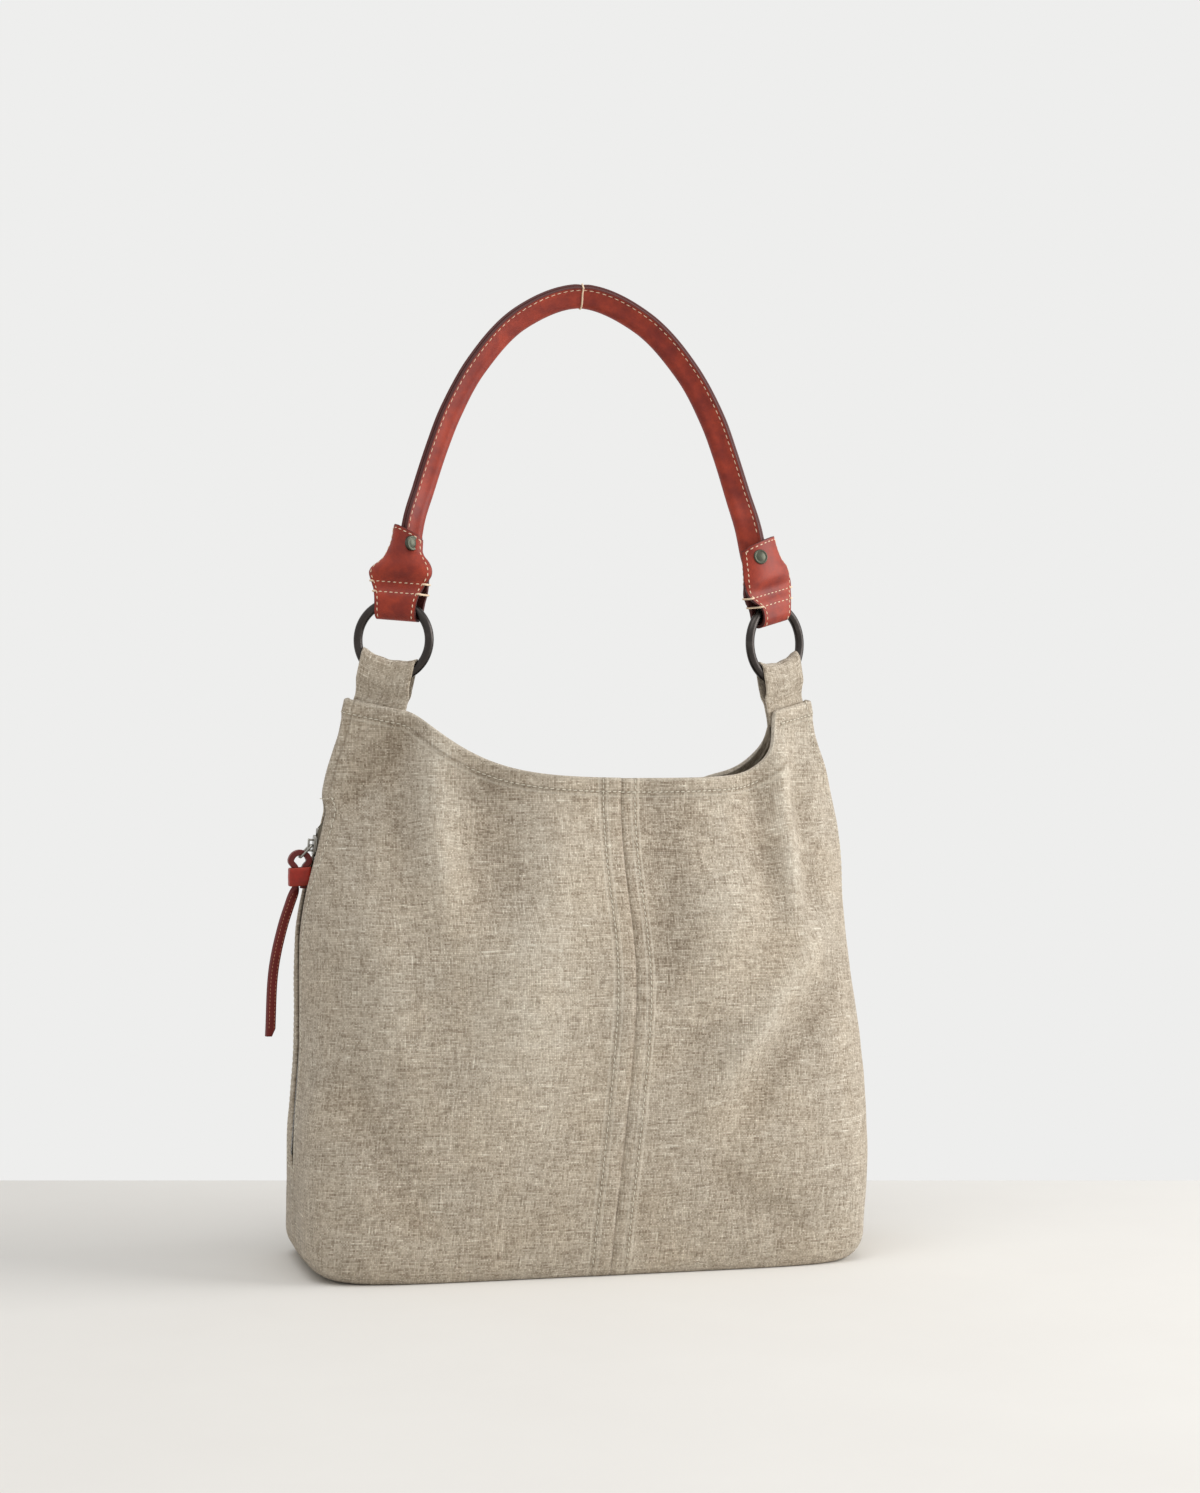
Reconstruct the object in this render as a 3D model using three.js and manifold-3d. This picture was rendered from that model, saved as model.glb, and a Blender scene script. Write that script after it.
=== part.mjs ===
// A slouchy linen shoulder bag with a leather handle, modelled in millimetres, +Z up.
// The origin is the middle of the flat base, -Y is the front and +X the right-hand side.
import * as THREE from 'three';
import { mergeVertices } from 'three/addons/utils/BufferGeometryUtils.js';
import Module from 'manifold-3d';

const wasm = await Module();
wasm.setup();

// Cloth, leather and the clearances between sewn layers
const CLOTH = 1.4;
const WEBBING = 1.5;
const FACING = 1.2;
const LEATHER = 1.9;
const GAP = 0.3;

// Base
const BASE_HALF_WIDTH = 149;
const BASE_HALF_DEPTH = 66;
const EDGE_HEIGHT = 17;
const BOTTOM_SEAM_X = 8;
const BOTTOM_SEAM_Y = 6;

// Rim and peaks
const RIM_FRONT = 282;
const RIM_BACK = 278;
const RIM_FALL_LEFT = 30;
const RIM_FALL_RIGHT = 13;
const HEM = 12;
const PEAK_OUTER = 328;
const PEAK_INNER = 321;
const PEAK_WIDTH = 38;
const SEAM_RETURN = 1.5;
const SEAM_STRAIGHT = 60;
const SEAM_SET_FORWARD = 8;
const SEAM_SET_FROM = 258;
const PEAK_SPREAD_FROM = 255;
const PEAK_SPREAD_TO = 306;
const PEAK_PINCH_FROM = 262;
const PEAK_PINCH_TO = 309;
const PEAK_OPEN = 0.78;

// The body's level sections from the bottom edge to above the peaks: half-widths on each
// side, how far the front and back stand off the side seams, and the section's curve
// y = depth * (1 - t ** square) ** round
const SECTIONS = [
  { z: 17, left: 167, right: 164, front: 71, back: 69, square: 6.4, round: 0.16 },
  { z: 70, left: 169, right: 169, front: 72, back: 70, square: 4.0, round: 0.25 },
  { z: 130, left: 166, right: 168, front: 72, back: 70, square: 3.0, round: 0.34 },
  { z: 190, left: 166, right: 162, front: 70, back: 67, square: 2.5, round: 0.42 },
  { z: 214, left: 163, right: 161, front: 67, back: 62, square: 2.3, round: 0.48 },
  { z: 246, left: 156, right: 160, front: 60, back: 54, square: 2.1, round: 0.62 },
  { z: 282, left: 150, right: 152, front: 51, back: 37, square: 2.0, round: 0.85 },
  { z: 309, left: 142, right: 142, front: 47, back: 28, square: 2.0, round: 1.0 },
  { z: 330, left: 137, right: 137, front: 45, back: 24, square: 2.0, round: 1.0 },
];

// The front centre seam wanders as the washed cloth does: height and x
const CENTRE_SEAM = [[0, 3], [44, 6], [124, 14], [172, 17], [234, 12.5], [290, 12]];

// Rings
const RING_BORE = 38;
const RING_WIRE = 5.2;
const RING_RISE = 37.3;
const LEAN = THREE.MathUtils.degToRad(13);

// Linen tabs that hold the rings
const TAB_WIDTH = 33;
const TAB_LEG = 13;
const TAB_SAG = 3.4;
const TAB_SIDE = 3.6;

// Handle: a leather strip folded round a cord, its two edges sewn together as a flange
const HANDLE_ROUND = 10;
const HANDLE_HEIGHT = 15;
const FLANGE_THICK = 4.6;
const CORE = 5;
const HANDLE_TILT = THREE.MathUtils.degToRad(42);
const HANDLE_LOW = 28;
const HANDLE_FOOT = { w: -3.2, n: -7.4 };
const HANDLE_COLLAR = { w: -5.6, n: -10.4 };
const HANDLE_ARCH = [[94, -14, 447], [85.5, -12, 472], [77, -10.5, 493], [61.8, -8.5, 520],
  [35.8, -6, 548]];
const HANDLE_TOP = 562;
const HANDLE_TOP_Y = -5;

// Chapes: the leather ends that hold the handle on the rings. Height above the ring's top,
// full width, full thickness, how far the collar has turned to face the handle, and how
// far its middle lies across and in front of the ring's
const CHAPE_WIDTH = 25;
const CHAPE_SWING = THREE.MathUtils.degToRad(6);
const CHAPE_PROFILE = [
  { h: 5, wide: 28, thick: 10, turn: 0, w: -1.2, n: -0.3 },
  { h: 10, wide: 31, thick: 8.4, turn: 0, w: -2.4, n: -0.9 },
  { h: 14, wide: 33, thick: 8.6, turn: 1, w: -3.2, n: -1.6 },
  { h: 18, wide: 34.5, thick: 9.8, turn: 5, w: -3.8, n: -2.6 },
  { h: 22, wide: 33, thick: 11.6, turn: 14, w: -4, n: -3.6 },
  { h: 26, wide: 28, thick: 13.4, turn: 28, w: -4, n: -4.6 },
  { h: 30, wide: 22.5, thick: 14, turn: 42, w: -4.1, n: -5.4 },
  { h: 35, wide: 20, thick: 14.2, turn: 54, w: -4.6, n: -6.3 },
  { h: 40, wide: 19.6, thick: 14.2, turn: 60, w: -5.2, n: -7 },
  { h: 46, wide: 19.6, thick: 14.2, turn: 64, w: -6.2, n: -7.8 },
];

// Rivets through the collars
const RIVET_CAP = 7.4;
const RIVET_SHANK = 3;
const RIVET_DOME = 1.3;
const RIVET_HEIGHT = 36;
const RIVET_FACING = THREE.MathUtils.degToRad(45);

// Zip in the left side seam
const ZIP_LOW = 66;
const ZIP_HIGH = 262;
const SLIDER_BELOW_END = 19;
const ZIP_CLOSED = ZIP_HIGH - SLIDER_BELOW_END;
const SLIT_HALF = 7;
const SLIT_END = 14;
const CHAIN_FLUSH = 0.5;
const TAPE = 0.8;
const TAPE_EDGE = 1.9;
const TAPE_SPREAD = 3.2;
const TAPE_BEND = 4.9;
const CORD_EDGE = 1.2;
const TOOTH_PITCH = 4;
const TOOTH_HIGH = 1.5;
const TOOTH_THICK = 2.4;
const TOOTH_LONG = 3.2;
const TOOTH_LAP = 0.5;
const SLIDER_WIDE = 8.8;
const SLIDER_LONG = 12;
const SLIDER_PLATE = 1.1;
const BRIDGE_LONG = 7.5;
const BRIDGE_WIDE = 2.6;
const BRIDGE_BAR = 1;
const STOP_LONG = 3;
const STOP_WIDE = 1.5;

// Pull: a wire bail, a leather strap looped through it, and the keeper round both strands
const BAIL_WIRE = 1.5;
const BAIL_SIDE_WIRE = 1.36;
const BAIL_REACH = 9.4;
const STRAP_WIDE = 6.2;
const STRAP_THICK = 3.2;
const STRAP_LOOP = 5.2;
const STRAP_TWIST = THREE.MathUtils.degToRad(42);
const STRAP_DROP = [[0, 8], [0.3, 14], [3.6, 23], [8.8, 38], [14.4, 62], [16.6, 100]];
const KEEPER_TALL = 10.4;
const KEEPER_THICK = 1.5;
const KEEPER_BELOW_LOOP = 1.8;

const vec = (x, y, z) => new THREE.Vector3(x, y, z);
const mix = (a, b, f) => a * (1 - f) + b * f;
const smooth = (low, high, value) => THREE.MathUtils.smoothstep(value, low, high);

// Smooth curve through rows of values: Hermite with the neighbours' slopes
function through(rows, x, at, value) {
  let i = rows.findIndex((row) => at(row) > x);
  if (i < 0) return value(rows[rows.length - 1]);
  if (i === 0) return value(rows[0]);
  i -= 1;
  const slope = (j) => {
    const a = rows[Math.max(j - 1, 0)];
    const b = rows[Math.min(j + 1, rows.length - 1)];
    return (value(b) - value(a)) / (at(b) - at(a));
  };
  const step = at(rows[i + 1]) - at(rows[i]);
  const f = (x - at(rows[i])) / step;
  const rise = f * f * (3 - 2 * f);
  return mix(value(rows[i]), value(rows[i + 1]), rise)
    + step * (f * (1 - f) * (1 - f) * slope(i) - f * f * (1 - f) * slope(i + 1));
}

const section = (name, z) => through(SECTIONS, z, (row) => row.z, (row) => row[name]);
const centreSeamX = (z) => through(CENTRE_SEAM, z, (row) => row[0], (row) => row[1]);

// The two sewn layers of a peak with the tab's legs between them, measured along Y
const PEAK_SHARE = 0.87;
const TOP_SECTION = SECTIONS[SECTIONS.length - 1];
const PEAK_SLOPE = 2 * TOP_SECTION.front * PEAK_SHARE / TOP_SECTION.left;
const PEAK_DEPTH = (2 * CLOTH + 2 * WEBBING + 3 * GAP) * Math.hypot(1, PEAK_SLOPE);

// Everything that a level section needs at height z
function levelSection(z) {
  const top = Math.max(z, EDGE_HEIGHT);
  const fall = Math.min(z / EDGE_HEIGHT, 1);
  const out = Math.sqrt(1 - (1 - fall) ** 2);
  const pinch = smooth(PEAK_PINCH_FROM, PEAK_PINCH_TO, z);
  return {
    z,
    left: mix(BASE_HALF_WIDTH, section('left', top), out),
    right: mix(BASE_HALF_WIDTH, section('right', top), out),
    front: mix(BASE_HALF_DEPTH, section('front', top), out),
    back: mix(BASE_HALF_DEPTH, section('back', top), out),
    square: section('square', top),
    round: section('round', top),
    seamY: BOTTOM_SEAM_Y * (1 - smooth(0, SEAM_STRAIGHT, z))
      - SEAM_SET_FORWARD * smooth(SEAM_SET_FROM, PEAK_OUTER, z),
    apart: mix(2 * SEAM_RETURN, PEAK_DEPTH, smooth(PEAK_SPREAD_FROM, PEAK_SPREAD_TO, z)),
    pinch,
    open: mix(1, PEAK_OPEN, pinch),
    seamX: centreSeamX(z),
  };
}

// The front's and the back's Y at x on a level section
function frontY(level, x) {
  const t = Math.min(Math.abs(x) / (x < 0 ? level.left : level.right), 1);
  return level.seamY - level.apart / 2 - level.front * (1 - t ** level.square) ** level.round;
}

function backY(level, x) {
  const t = Math.min(Math.abs(x) / (x < 0 ? level.left : level.right), 1);
  const plain = level.seamY + level.apart / 2
    + level.back * (1 - t ** level.square) ** level.round;
  const wide = Math.max(1 - (t / level.open) ** 2, 0);
  const pinched = frontY(level, x) + level.apart + (level.front + level.back) * wide;
  return mix(plain, pinched, level.pinch);
}

const OUTLINE_STEPS = 80;

// A quarter's outline in plan, from its side seam to its centre seam, with running lengths
function outline(level, side, face) {
  const half = side < 0 ? level.left : level.right;
  const seamX = face < 0 ? level.seamX : BOTTOM_SEAM_X;
  const depth = face < 0 ? frontY : backY;
  const points = [[side * half, level.seamY + face * GAP / 2]];
  for (let i = 0; i <= OUTLINE_STEPS; i += 1) {
    const along = 1 - Math.cos(Math.PI / 2 * i / OUTLINE_STEPS);
    const x = mix(side * half, seamX + side * GAP / 2, along);
    points.push([x, depth(level, x)]);
  }
  const lengths = [0];
  for (let i = 1; i < points.length; i += 1) {
    const [a, b] = [points[i - 1], points[i]];
    lengths.push(lengths[i - 1] + Math.hypot(b[0] - a[0], b[1] - a[1]));
  }
  return { points, lengths, total: lengths[lengths.length - 1], side, face };
}

// The point of an outline at a running length, moved inwards by inset
function onOutline(line, length, inset) {
  const { points, lengths, side, face } = line;
  const want = THREE.MathUtils.clamp(length, 0, line.total);
  let i = lengths.findIndex((value) => value >= want);
  i = Math.max(i, 1);
  const f = (want - lengths[i - 1]) / (lengths[i] - lengths[i - 1]);
  const [a, b] = [points[i - 1], points[i]];
  const inward = (j) => {
    const [p, q] = [points[Math.max(j, 1) - 1], points[Math.max(j, 1)]];
    const size = Math.hypot(q[0] - p[0], q[1] - p[1]);
    const turn = side * face;
    return [turn * (q[1] - p[1]) / size, -turn * (q[0] - p[0]) / size];
  };
  const before = f < 1e-6 ? inward(i - 1) : inward(i);
  const after = f > 1 - 1e-6 ? inward(Math.min(i + 1, points.length - 1)) : inward(i);
  const cosine = before[0] * after[0] + before[1] * after[1];
  const reach = inset / (1 + cosine);
  return [
    mix(a[0], b[0], f) - reach * (before[0] + after[0]),
    mix(a[1], b[1], f) - reach * (before[1] + after[1]),
  ];
}

// One closed, outward-facing geometry from triangles given as points
function solid(triangles) {
  const flat = triangles.flatMap((triangle) => triangle.flatMap((p) => [p.x, p.y, p.z]));
  const raw = new THREE.BufferGeometry();
  raw.setAttribute('position', new THREE.Float32BufferAttribute(flat, 3));
  const merged = mergeVertices(raw, 1e-3);
  const source = merged.index.array;
  const position = merged.getAttribute('position');
  const corner = (i) => vec(position.getX(i), position.getY(i), position.getZ(i));
  const index = [];
  let volume = 0;
  for (let i = 0; i < source.length; i += 3) {
    const [a, b, c] = [source[i], source[i + 1], source[i + 2]];
    if (a === b || b === c || c === a) continue;
    index.push(a, b, c);
    volume += corner(a).dot(corner(b).cross(corner(c)));
  }
  if (volume < 0) {
    for (let i = 0; i < index.length; i += 3) {
      [index[i + 1], index[i + 2]] = [index[i + 2], index[i + 1]];
    }
  }
  merged.setIndex(index);
  return merged;
}

// Two faces of a sheet, given as equal grids of points, closed round their border.
// From column turned on, the four-sided faces are split along their other diagonal
function sheet(outer, inner, turned = Infinity) {
  const triangles = [];
  const quad = (a, b, c, d) => triangles.push([a, b, c], [a, c, d]);
  const other = (a, b, c, d) => triangles.push([a, b, d], [b, c, d]);
  const rows = outer.length - 1;
  const columns = outer[0].length - 1;
  for (let i = 0; i < rows; i += 1) {
    for (let j = 0; j < columns; j += 1) {
      const split = j < turned ? quad : other;
      split(outer[i][j], outer[i][j + 1], outer[i + 1][j + 1], outer[i + 1][j]);
      split(inner[i][j], inner[i + 1][j], inner[i + 1][j + 1], inner[i][j + 1]);
    }
    quad(outer[i][0], outer[i + 1][0], inner[i + 1][0], inner[i][0]);
    quad(outer[i + 1][columns], outer[i][columns], inner[i][columns], inner[i + 1][columns]);
  }
  for (let j = 0; j < columns; j += 1) {
    quad(outer[0][j + 1], outer[0][j], inner[0][j], inner[0][j + 1]);
    quad(outer[rows][j], outer[rows][j + 1], inner[rows][j + 1], inner[rows][j]);
  }
  return solid(triangles);
}

// Rings of points joined into one tube; ends are capped, or joined when it closes
function loft(rings, closed = false) {
  const triangles = [];
  const count = rings[0].length;
  const spans = closed ? rings.length : rings.length - 1;
  for (let i = 0; i < spans; i += 1) {
    const [a, b] = [rings[i], rings[(i + 1) % rings.length]];
    for (let j = 0; j < count; j += 1) {
      const k = (j + 1) % count;
      triangles.push([a[j], a[k], b[k]], [a[j], b[k], b[j]]);
    }
  }
  if (!closed) {
    const cap = (ring, flip) => {
      const origin = ring[0];
      const across = ring[Math.floor(count / 3)].clone().sub(origin).normalize();
      const other = ring[Math.floor(2 * count / 3)].clone().sub(origin);
      const normal = across.clone().cross(other).normalize();
      const up = normal.clone().cross(across);
      const flat = ring.map((p) => {
        const d = p.clone().sub(origin);
        return new THREE.Vector2(d.dot(across), d.dot(up));
      });
      const order = Math.sign(THREE.ShapeUtils.area(flat)) * (flip ? -1 : 1);
      THREE.ShapeUtils.triangulateShape(flat, []).forEach(([p, q, r]) => {
        const same = THREE.ShapeUtils.area([flat[p], flat[q], flat[r]]) * order > 0;
        triangles.push(same ? [ring[p], ring[q], ring[r]] : [ring[p], ring[r], ring[q]]);
      });
    };
    cap(rings[0], true);
    cap(rings[rings.length - 1], false);
  }
  return solid(triangles);
}

// Joins and cuts
function toManifold(geometry) {
  const bare = geometry.clone();
  bare.deleteAttribute('normal');
  bare.deleteAttribute('uv');
  const merged = mergeVertices(bare, 1e-3);
  const index = merged.index.array;
  const kept = [];
  for (let i = 0; i < index.length; i += 3) {
    const [a, b, c] = [index[i], index[i + 1], index[i + 2]];
    if (a !== b && b !== c && c !== a) kept.push(a, b, c);
  }
  return new wasm.Manifold(new wasm.Mesh({
    numProp: 3,
    vertProperties: Float32Array.from(merged.getAttribute('position').array),
    triVerts: Uint32Array.from(kept),
  }));
}

function fromManifold(body) {
  const { vertProperties, triVerts, numProp } = body.getMesh();
  const corner = (i) => vec(...vertProperties.slice(i * numProp, i * numProp + 3));
  const triangles = [];
  for (let i = 0; i < triVerts.length; i += 3) {
    triangles.push([corner(triVerts[i]), corner(triVerts[i + 1]), corner(triVerts[i + 2])]);
  }
  return solid(triangles);
}

function joined(pieces) {
  return fromManifold(pieces.map(toManifold).reduce((sum, piece) => sum.add(piece)));
}

function cut(piece, tools) {
  return fromManifold(tools.reduce((rest, tool) => rest.subtract(toManifold(tool)),
    toManifold(piece)));
}

// A copy mirrored to the other side of the bag
function mirrored(geometry) {
  const position = geometry.getAttribute('position');
  const triangles = [];
  const index = geometry.index.array;
  const corner = (i) => vec(-position.getX(i), position.getY(i), position.getZ(i));
  for (let i = 0; i < index.length; i += 3) {
    triangles.push([corner(index[i]), corner(index[i + 1]), corner(index[i + 2])]);
  }
  return solid(triangles);
}

// A geometry carried into a frame that may be left-handed
function placed(geometry, matrix) {
  const bare = geometry.clone();
  bare.deleteAttribute('normal');
  bare.deleteAttribute('uv');
  const merged = mergeVertices(bare, 1e-3);
  merged.applyMatrix4(matrix);
  const position = merged.getAttribute('position');
  const corner = (i) => vec(position.getX(i), position.getY(i), position.getZ(i));
  const index = merged.index.array;
  const triangles = [];
  for (let i = 0; i < index.length; i += 3) {
    triangles.push([corner(index[i]), corner(index[i + 1]), corner(index[i + 2])]);
  }
  return solid(triangles);
}

const box = (x, y, z) => new THREE.BoxGeometry(x, y, z);

// Body panels

const LOW_ROWS = 2;
const ZIP_ROWS = 8;
const HIGH_ROWS = 2;
const PEAK_COLUMNS = 4;
const RIM_COLUMNS = 7;
const RIM_LEVEL = 300;

// Running lengths of the columns along the rim, from the side seam to the centre seam
function columnMarks(total) {
  const marks = [];
  for (let i = 0; i <= PEAK_COLUMNS; i += 1) marks.push(PEAK_WIDTH * i / PEAK_COLUMNS);
  for (let i = 1; i <= RIM_COLUMNS; i += 1) {
    marks.push(mix(PEAK_WIDTH, total, (i / RIM_COLUMNS) ** 1.5));
  }
  return marks;
}

// A column keeps its distance from the side seam over the peak's width, then spreads
function columnLength({ mark, share }, total) {
  return mark <= PEAK_WIDTH ? mark : mix(PEAK_WIDTH, total, share);
}

function rimHeight(length, side, face) {
  const middle = face < 0 ? RIM_FRONT : RIM_BACK;
  const fall = side < 0 ? RIM_FALL_LEFT : RIM_FALL_RIGHT;
  if (length <= PEAK_WIDTH) return mix(PEAK_OUTER, PEAK_INNER, length / PEAK_WIDTH);
  return middle + (PEAK_INNER - middle) * Math.exp(-(length - PEAK_WIDTH) / fall);
}

// Half the slit's width in the left side seam at height z
function slitHalf(side, z) {
  if (side > 0) return 0;
  return (SLIT_HALF - GAP / 2) * smooth(ZIP_LOW - SLIT_END, ZIP_LOW, z)
    * (1 - smooth(ZIP_HIGH, ZIP_HIGH + SLIT_END, z));
}

// Plan point of a column on a level, moved inwards by inset
function panelPoint(level, side, face, column, inset) {
  const line = outline(level, side, face);
  const start = slitHalf(side, level.z);
  const first = Math.max(level.apart / 2 - GAP / 2, start + 1);
  const length = column.seam ? start : first + columnLength(column, line.total - first);
  return onOutline(line, length, inset);
}

function panelRows(side, face) {
  const rimLine = outline(levelSection(RIM_LEVEL), side, face);
  const marks = columnMarks(rimLine.total);
  const columns = [{ share: 0, seam: true, mark: 0 }];
  marks.forEach((mark) => {
    const share = Math.max(mark - PEAK_WIDTH, 0) / (rimLine.total - PEAK_WIDTH);
    columns.push({ share, seam: false, mark });
  });
  const heights = (mark) => {
    const hem = rimHeight(mark, side, face) - HEM;
    const list = [];
    const steps = (from, to, count) => {
      for (let i = 1; i <= count; i += 1) list.push(mix(from, to, i / count));
    };
    steps(EDGE_HEIGHT, ZIP_LOW - SLIT_END, LOW_ROWS);
    steps(ZIP_LOW - SLIT_END, ZIP_LOW, 1);
    steps(ZIP_LOW, ZIP_HIGH, ZIP_ROWS);
    const slitTop = SLIT_END / (PEAK_OUTER - HEM - ZIP_HIGH);
    steps(ZIP_HIGH, mix(ZIP_HIGH, hem, slitTop), 1);
    steps(mix(ZIP_HIGH, hem, slitTop), hem, HIGH_ROWS);
    steps(hem, hem + HEM, 1);
    return list;
  };
  return { columns, heights };
}

function panel(side, face) {
  const { columns, heights } = panelRows(side, face);
  const grid = (inset, lift) => {
    const rows = [];
    const base = levelSection(0);
    const seamY = base.seamY + face * GAP / 2;
    for (const flat of [1, 0.5]) {
      rows.push(columns.map((column) => {
        const [x, y] = panelPoint(base, side, face, column, inset);
        return vec(x, mix(y, seamY, flat), lift);
      }));
    }
    for (const angle of [0, 30, 60, 90].map(THREE.MathUtils.degToRad)) {
      const level = levelSection(EDGE_HEIGHT * (1 - Math.cos(angle)));
      const z = lift + (EDGE_HEIGHT - lift) * (1 - Math.cos(angle));
      rows.push(columns.map((column) => {
        const [x, y] = panelPoint(level, side, face, column, inset);
        return vec(x, y, z);
      }));
    }
    const lists = columns.map(({ mark }) => heights(mark));
    for (let i = 0; i < lists[0].length; i += 1) {
      rows.push(columns.map((column, j) => {
        const z = lists[j][i];
        const [x, y] = panelPoint(levelSection(z), side, face, column, inset);
        return vec(x, y, z);
      }));
    }
    return rows;
  };
  return sheet(grid(0, 0), grid(CLOTH, CLOTH));
}

// The hem's turned-in facing on the inside of the rim, between the two tabs
function rimFacing(face) {
  const grid = (inset) => {
    const rows = [[], []];
    for (const side of [-1, 1]) {
      const { columns } = panelRows(side, face);
      const kept = columns.filter(({ mark }) => mark > PEAK_WIDTH + 1);
      const ordered = side < 0 ? kept : kept.slice(0, -1).reverse();
      for (const column of ordered) {
        const rim = rimHeight(column.mark, side, face);
        [rim - HEM, rim].forEach((z, i) => {
          const [x, y] = panelPoint(levelSection(z), side, face, column, inset);
          rows[i].push(vec(x, y, z));
        });
      }
    }
    return rows;
  };
  return sheet(grid(CLOTH + GAP), grid(CLOTH + GAP + FACING), RIM_COLUMNS - 1);
}

// The frame of the left peak's ring: where the tab leaves the peak, and its directions

const PEAK_MIDDLE = mix(PEAK_OUTER, PEAK_INNER, 0.5);

// A point between the peak's two layers at a running length from the side seam
function peakMiddle(length, z) {
  const level = levelSection(z);
  const line = outline(level, -1, -1);
  const start = level.apart / 2 - GAP / 2;
  const [x, y] = onOutline(line, start + length, 0);
  const [ax, ay] = onOutline(line, start + length + 1, 0);
  const along = new THREE.Vector2(ax - x, ay - y).normalize();
  return {
    point: vec(x, y + level.apart / 2, z),
    out: vec(along.y, -along.x, 0),
    along: vec(along.x, along.y, 0),
  };
}

const TAB_MIDDLE = TAB_SIDE + TAB_WIDTH / 2;
const peakRoot = peakMiddle(TAB_MIDDLE, PEAK_MIDDLE);
const ringAcross = peakRoot.along.clone().multiplyScalar(Math.cos(LEAN))
  .add(vec(0, 0, -Math.sin(LEAN)));
const ringUp = peakRoot.along.clone().multiplyScalar(Math.sin(LEAN))
  .add(vec(0, 0, Math.cos(LEAN)));
const ringOut = peakRoot.out.clone();

// Local place to the model's frame: w across towards the middle, n outwards, h up
function ringPlace(w, n, h) {
  return peakRoot.point.clone()
    .addScaledVector(ringAcross, w)
    .addScaledVector(ringOut, n)
    .addScaledVector(ringUp, h);
}

const RING_RADIUS = (RING_BORE + RING_WIRE) / 2;
const RING_TOP = RING_RISE + RING_RADIUS;

function ringTube(radius, clearance, from, to, steps, sides) {
  const rings = [];
  const closed = to - from >= 2 * Math.PI - 1e-6;
  for (let i = 0; i < steps + (closed ? 0 : 1); i += 1) {
    const angle = mix(from, to, i / steps);
    const ring = [];
    for (let j = 0; j < sides; j += 1) {
      const turn = 2 * Math.PI * j / sides;
      const reach = radius + (RING_WIRE / 2 + clearance) * Math.cos(turn);
      ring.push(ringPlace(reach * Math.sin(angle),
        (RING_WIRE / 2 + clearance) * Math.sin(turn), RING_RISE + reach * Math.cos(angle)));
    }
    rings.push(ring);
  }
  return loft(rings, closed);
}

const leftRing = ringTube(RING_RADIUS, 0, 0, 2 * Math.PI, 32, 8);

// Tab: a strip of linen up from between the layers, over the ring's wire and down again

const TAB_ACROSS = 5;
const TAB_CLEAR = RING_WIRE / 2 + GAP;

function tabPlace(w, n, h) {
  const lean = LEAN * smooth(-4, 10, h);
  const along = w * Math.cos(lean) + h * Math.sin(lean);
  const rise = h * Math.cos(lean) - w * Math.sin(lean);
  const flat = peakRoot.point.clone()
    .addScaledVector(peakRoot.along, along)
    .addScaledVector(peakRoot.out, n)
    .add(vec(0, 0, rise));
  const bent = peakMiddle(TAB_MIDDLE + along, PEAK_MIDDLE + rise);
  bent.point.addScaledVector(bent.out, n);
  return bent.point.lerp(flat, smooth(4, 12, h));
}

function tab() {
  const wireHigh = RING_RISE - RING_RADIUS;
  const edgeDrop = Math.sqrt(RING_RADIUS ** 2 - (TAB_WIDTH / 2) ** 2);
  const slant = RING_WIRE / 2 * (RING_RADIUS / edgeDrop - 1);
  const grid = (depth) => {
    const rows = [];
    for (let i = 0; i <= TAB_ACROSS; i += 1) {
      const w = mix(-TAB_WIDTH / 2, TAB_WIDTH / 2, i / TAB_ACROSS);
      const sag = TAB_SAG * (1 - (2 * w / TAB_WIDTH) ** 2);
      const fold = RING_RISE - edgeDrop + slant + GAP - sag;
      const row = [];
      const near = GAP / 2 + depth;
      const wide = TAB_CLEAR + depth;
      const leg = (side) => [[near, -TAB_LEG], [near, -5], [near, 1.5],
        [mix(near, wide, 0.5), wireHigh / 2], [wide, wireHigh - 1.5], [wide, fold]]
        .map(([n, h]) => [side * n, h]);
      const bend = [];
      for (let k = 1; k < 8; k += 1) {
        const turn = Math.PI * k / 8;
        bend.push([wide * Math.cos(turn), fold + wide * Math.sin(turn)]);
      }
      for (const [n, h] of [...leg(1), ...bend, ...leg(-1).reverse()]) {
        row.push(tabPlace(w, n, h));
      }
      rows.push(row);
    }
    return rows;
  };
  return sheet(grid(WEBBING), grid(0));
}

// Handle

// The handle's path from the left collar over the arch to the right one
const handleFoot = ringPlace(HANDLE_FOOT.w, HANDLE_FOOT.n, RING_TOP + HANDLE_LOW);
const handleCollar = ringPlace(HANDLE_COLLAR.w, HANDLE_COLLAR.n,
  RING_TOP + CHAPE_PROFILE[CHAPE_PROFILE.length - 1].h + 2);
const leftHalf = [handleFoot, handleCollar,
  ...HANDLE_ARCH.map(([x, y, z]) => vec(-x, y, z))];
const handlePath = new THREE.CatmullRomCurve3([
  ...leftHalf, vec(0, HANDLE_TOP_Y, HANDLE_TOP),
  ...leftHalf.slice().reverse().map((p) => vec(-p.x, p.y, p.z)),
], false, 'centripetal');

// The folded strip's section: a round body and a flange, outer line then inner line.
// The flange stands at +u; slot is the join between its two edges
function handleSection(grow) {
  const round = HANDLE_ROUND / 2 + grow;
  const tip = HANDLE_HEIGHT - HANDLE_ROUND / 2 + grow;
  const half = FLANGE_THICK / 2 + grow;
  const outer = [[tip, half], [round + 0.4, half]];
  const from = Math.acos(0.6);
  for (let i = 0; i <= 8; i += 1) {
    const angle = mix(from, 2 * Math.PI - from, i / 8);
    outer.push([round * Math.cos(angle), round * Math.sin(angle)]);
  }
  outer.push([round + 0.4, -half], [tip, -half]);
  return outer;
}

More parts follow.
